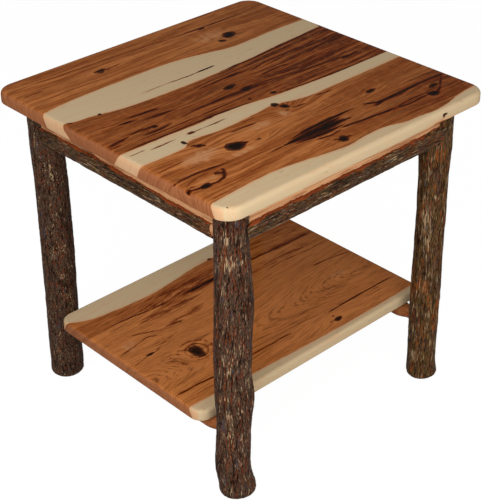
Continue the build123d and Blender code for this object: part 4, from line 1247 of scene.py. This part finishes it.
def screw_piece(node, places, seat, length, diameter, pitch, material):
    """All the screws of one node, as one mesh made by geometry nodes."""
    screw = linked(node + "_one", screw_mesh(node + "_one", length, diameter, pitch))
    points = bpy.data.meshes.new(node + "_threaded")
    points.from_pydata([(x * MM, y * MM, seat * MM) for x, y in places], [], [])
    piece = linked(node + "_threaded", points)
    run_nodes(piece, screw_nodes(node, screw, material))
    bpy.data.meshes.remove(screw.data)
    finished(piece, node)


def sawn_hickory(name, settings, colour, roughness):
    """Bare sawn or peeled hickory under a thin lacquer: fine streaks along the grain, faint
    saw marks across it, and a dull sheen."""
    material, tree, shader = principled(name, Roughness=roughness, Specular_IOR_Level=0.0,
                                        Coat_Weight=0.08, Coat_Roughness=0.3)
    grain = add(tree, ATTRIBUTE, out="Vector", attribute_name="grain")
    lines = grown(tree, grain, 55, 1.8, detail=3.0)
    bands = grown(tree, grain, 110, 8)
    saw_marks = grown(tree, grain, 1.6, 40, 30)
    streak = rgba(settings.wood_streak)
    shade = stained(tree, rgba(colour), streak, bands, 0.46, 0.68, 0.5)
    shade = layered(
        tree, shade,
        (streak, lines, 0.50, 0.62, 0.6), (rgba(settings.wood_pale), lines, 0.44, 0.34, 0.45))
    marks = add(tree, MATHS, {0: lines, 1: saw_marks}, operation="ADD")
    return surface(material, tree, shader, shade, marks, 0.3, 0.25 * MM)


def zinc_plate(settings):
    """Bright zinc-plated steel: a cool, faintly cloudy metal."""
    material, tree, shader = principled("zinc_plated_steel", Metallic=1.0, Roughness=0.32)
    place = add(tree, "ShaderNodeTexCoord", out="Object")
    cloud = grown(tree, place, 3, 3, detail=3.0)
    shade = stained(tree, rgba(settings.zinc), rgba([c * 0.8 for c in settings.zinc]), cloud,
                    0.35, 0.65)
    tree.links.new(shade, shader.inputs["Base Color"])
    return material


# ---------------------------------------------------------------- operators

class HICKORY_OT_planks(bpy.types.Operator):
    """Build the boards of the top and the shelf"""
    bl_idname = "hickory.planks"
    bl_label = "Top and Shelf"

    def execute(self, context):
        settings = context.scene.hickory_planks
        material = lacquered_hickory(settings)
        plank_panel(TOP_FIGURE, settings.top_corner, settings.top_round, settings, material)
        plank_panel(SHELF_FIGURE, settings.shelf_corner, settings.shelf_round, settings,
                    material)
        return {"FINISHED"}


class HICKORY_OT_legs(bpy.types.Operator):
    """Build the four bark-covered legs"""
    bl_idname = "hickory.legs"
    bl_label = "Legs"

    def execute(self, context):
        for node in LEGS:
            leg_piece(node, context.scene.hickory_bark)
        return {"FINISHED"}


class HICKORY_OT_rails(bpy.types.Operator):
    """Build the four sawn rails with their bark"""
    bl_idname = "hickory.rails"
    bl_label = "Rails"

    def execute(self, context):
        settings, bark_settings = context.scene.hickory_frame, context.scene.hickory_bark
        wood = sawn_hickory("sawn_hickory", settings, settings.sawn, 0.6)
        bark = hickory_bark("rail_bark", bark_settings, BARK_LOOKS["rail"])
        tree = bark_nodes(bark_settings, bark)
        for node, shape in RAIL_SHAPES.items():
            rail_beam(node, shape, wood)
            rail_bark(node, shape, tree)
        return {"FINISHED"}


class HICKORY_OT_stretchers(bpy.types.Operator):
    """Build the two peeled stretchers"""
    bl_idname = "hickory.stretchers"
    bl_label = "Stretchers"

    def execute(self, context):
        settings = context.scene.hickory_frame
        wood = sawn_hickory("peeled_hickory", settings, settings.peeled, 0.5)
        for node, side in (("left_stretcher", -1), ("right_stretcher", 1)):
            stretcher_piece(node, side, wood)
        return {"FINISHED"}


class HICKORY_OT_screws(bpy.types.Operator):
    """Build the screws under the top and the shelf"""
    bl_idname = "hickory.screws"
    bl_label = "Screws"

    def execute(self, context):
        settings = context.scene.hickory_frame
        zinc = zinc_plate(settings)
        pitch = settings.thread_pitch / MM
        screw_piece("top_screws", TOP_SCREWS, *TOP_SCREW, pitch, zinc)
        screw_piece("shelf_screws", SHELF_SCREWS, *SHELF_SCREW, pitch, zinc)
        return {"FINISHED"}


# Name, bearing and height in degrees, distance and size in m, and power in W.
LAMPS = (("key", -62, 34, 2.0, 1.3, 29.0), ("fill", -14, 20, 2.6, 1.7, 36.0))
LAMP_AIM, CAMERA_AIM = Vector((0, 0, 0.35)), Vector((-9.07, -6.92, 286.97)) * MM
FLOOR_HALF, SENSOR_WIDTH = 4.0, 36.0
# The lit paper and its glow add up to plain white where no shadow falls.
PAPER, PAPER_GLOW, GLOW_SHARE = (0.5, 0.5, 0.5, 1), 1.12, 0.86
SKY = (1.0, 0.99, 0.97, 1)


def bearing(azimuth, elevation):
    """The direction from the table towards a bearing, 0 at the front, and a height."""
    return Vector((math.sin(azimuth) * math.cos(elevation),
                   -math.cos(azimuth) * math.cos(elevation), math.sin(elevation)))


class HICKORY_OT_stage(bpy.types.Operator):
    """Set the floor, the light and the camera"""
    bl_idname = "hickory.stage"
    bl_label = "Stage"

    def seen(self, tree, share):
        """A share for what the camera sees, also in gloss and through glass."""
        node = add(tree, "ShaderNodeLightPath").node
        rays = node.outputs["Is Camera Ray"]
        for kind in ("Is Glossy Ray", "Is Transmission Ray"):
            rays = add(tree, MATHS, {0: rays, 1: node.outputs[kind]}, operation="MAXIMUM")
        return add(tree, MATHS, {0: rays, 1: share}, operation="MULTIPLY")

    def execute(self, context):
        settings = context.scene.hickory_stage
        scene = context.scene
        scene.view_settings.view_transform = "Standard"
        floor_mesh = bpy.data.meshes.new("floor")
        corners = ((-1, -1), (1, -1), (1, 1), (-1, 1))
        floor_mesh.from_pydata([(x * FLOOR_HALF, y * FLOOR_HALF, 0) for x, y in corners], [],
                               [(0, 1, 2, 3)])
        floor = linked("floor", floor_mesh)
        material = bpy.data.materials.new("white_paper")
        material.use_nodes = True
        tree = material.node_tree
        tree.nodes.clear()
        white = rgba(settings.background)
        paper = add(tree, "ShaderNodeBsdfDiffuse", {"Color": PAPER})
        glow = add(tree, "ShaderNodeEmission", {"Color": white, "Strength": PAPER_GLOW})
        mixed = add(tree, "ShaderNodeMixShader",
                    {0: self.seen(tree, GLOW_SHARE), 1: paper, 2: glow})
        add(tree, "ShaderNodeOutputMaterial", {"Surface": mixed})
        floor_mesh.materials.append(material)

        world = bpy.data.worlds.new("studio")
        scene.world = world
        world.use_nodes = True
        tree = world.node_tree
        tree.nodes.clear()
        soft = add(tree, "ShaderNodeBackground", {"Color": SKY, "Strength": settings.sky})
        plain = add(tree, "ShaderNodeBackground", {"Color": white, "Strength": 1.0})
        mixed = add(tree, "ShaderNodeMixShader", {0: self.seen(tree, 1.0), 1: soft, 2: plain})
        add(tree, "ShaderNodeOutputWorld", {"Surface": mixed})

        for name, azimuth, elevation, distance, size, power in LAMPS:
            light = bpy.data.lights.new(name, "AREA")
            light.shape, light.size, light.energy = "SQUARE", size, power
            lamp = linked(name, light)
            out = bearing(math.radians(azimuth), math.radians(elevation))
            lamp.location = LAMP_AIM + out * distance
            lamp.rotation_euler = (-out).to_track_quat("-Z", "Y").to_euler()

        camera_data = bpy.data.cameras.new("camera")
        camera_data.sensor_width = SENSOR_WIDTH
        camera_data.lens = settings.lens
        camera_data.clip_start, camera_data.clip_end = 0.05, 50.0
        camera = linked("camera", camera_data)
        back = bearing(settings.azimuth, settings.elevation)
        right = (-back).cross(Vector((0, 0, 1))).normalized()
        up = right.cross(-back)
        turned_right = right * math.cos(settings.roll) + up * math.sin(settings.roll)
        turned_up = up * math.cos(settings.roll) - right * math.sin(settings.roll)
        place = CAMERA_AIM + back * settings.distance
        rotation = Matrix((turned_right, turned_up, back)).transposed().to_4x4()
        camera.matrix_world = Matrix.Translation(place) @ rotation
        scene.camera = camera
        return {"FINISHED"}


class HICKORY_PT_table(bpy.types.Panel):
    """The table's pieces and their settings"""
    bl_idname = "HICKORY_PT_table"
    bl_label = "Rustic Hickory Table"
    bl_space_type = "VIEW_3D"
    bl_region_type = "UI"
    bl_category = "Hickory"

    def draw(self, context):
        for operator in OPERATORS:
            self.layout.operator(operator.bl_idname)


GROUPS = {"hickory_planks": PlankSettings, "hickory_bark": BarkSettings,
          "hickory_frame": FrameSettings, "hickory_stage": StageSettings}
OPERATORS = (HICKORY_OT_planks, HICKORY_OT_legs, HICKORY_OT_rails,
             HICKORY_OT_stretchers, HICKORY_OT_screws, HICKORY_OT_stage)


def register():
    """Add the settings, the operators and the panel to Blender."""
    for name, group in GROUPS.items():
        bpy.utils.register_class(group)
        setattr(bpy.types.Scene, name, PointerProperty(type=group))
    for cls in (*OPERATORS, HICKORY_PT_table):
        bpy.utils.register_class(cls)


def unregister():
    """Take them away again."""
    for cls in (HICKORY_PT_table, *reversed(OPERATORS)):
        bpy.utils.unregister_class(cls)
    for name, group in GROUPS.items():
        delattr(bpy.types.Scene, name)
        bpy.utils.unregister_class(group)


def main():
    """Build the table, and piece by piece."""
    register()
    for operator in OPERATORS:
        group, name = operator.bl_idname.split(".")
        getattr(getattr(bpy.ops, group), name)()


if __name__ == "__main__":
    main()
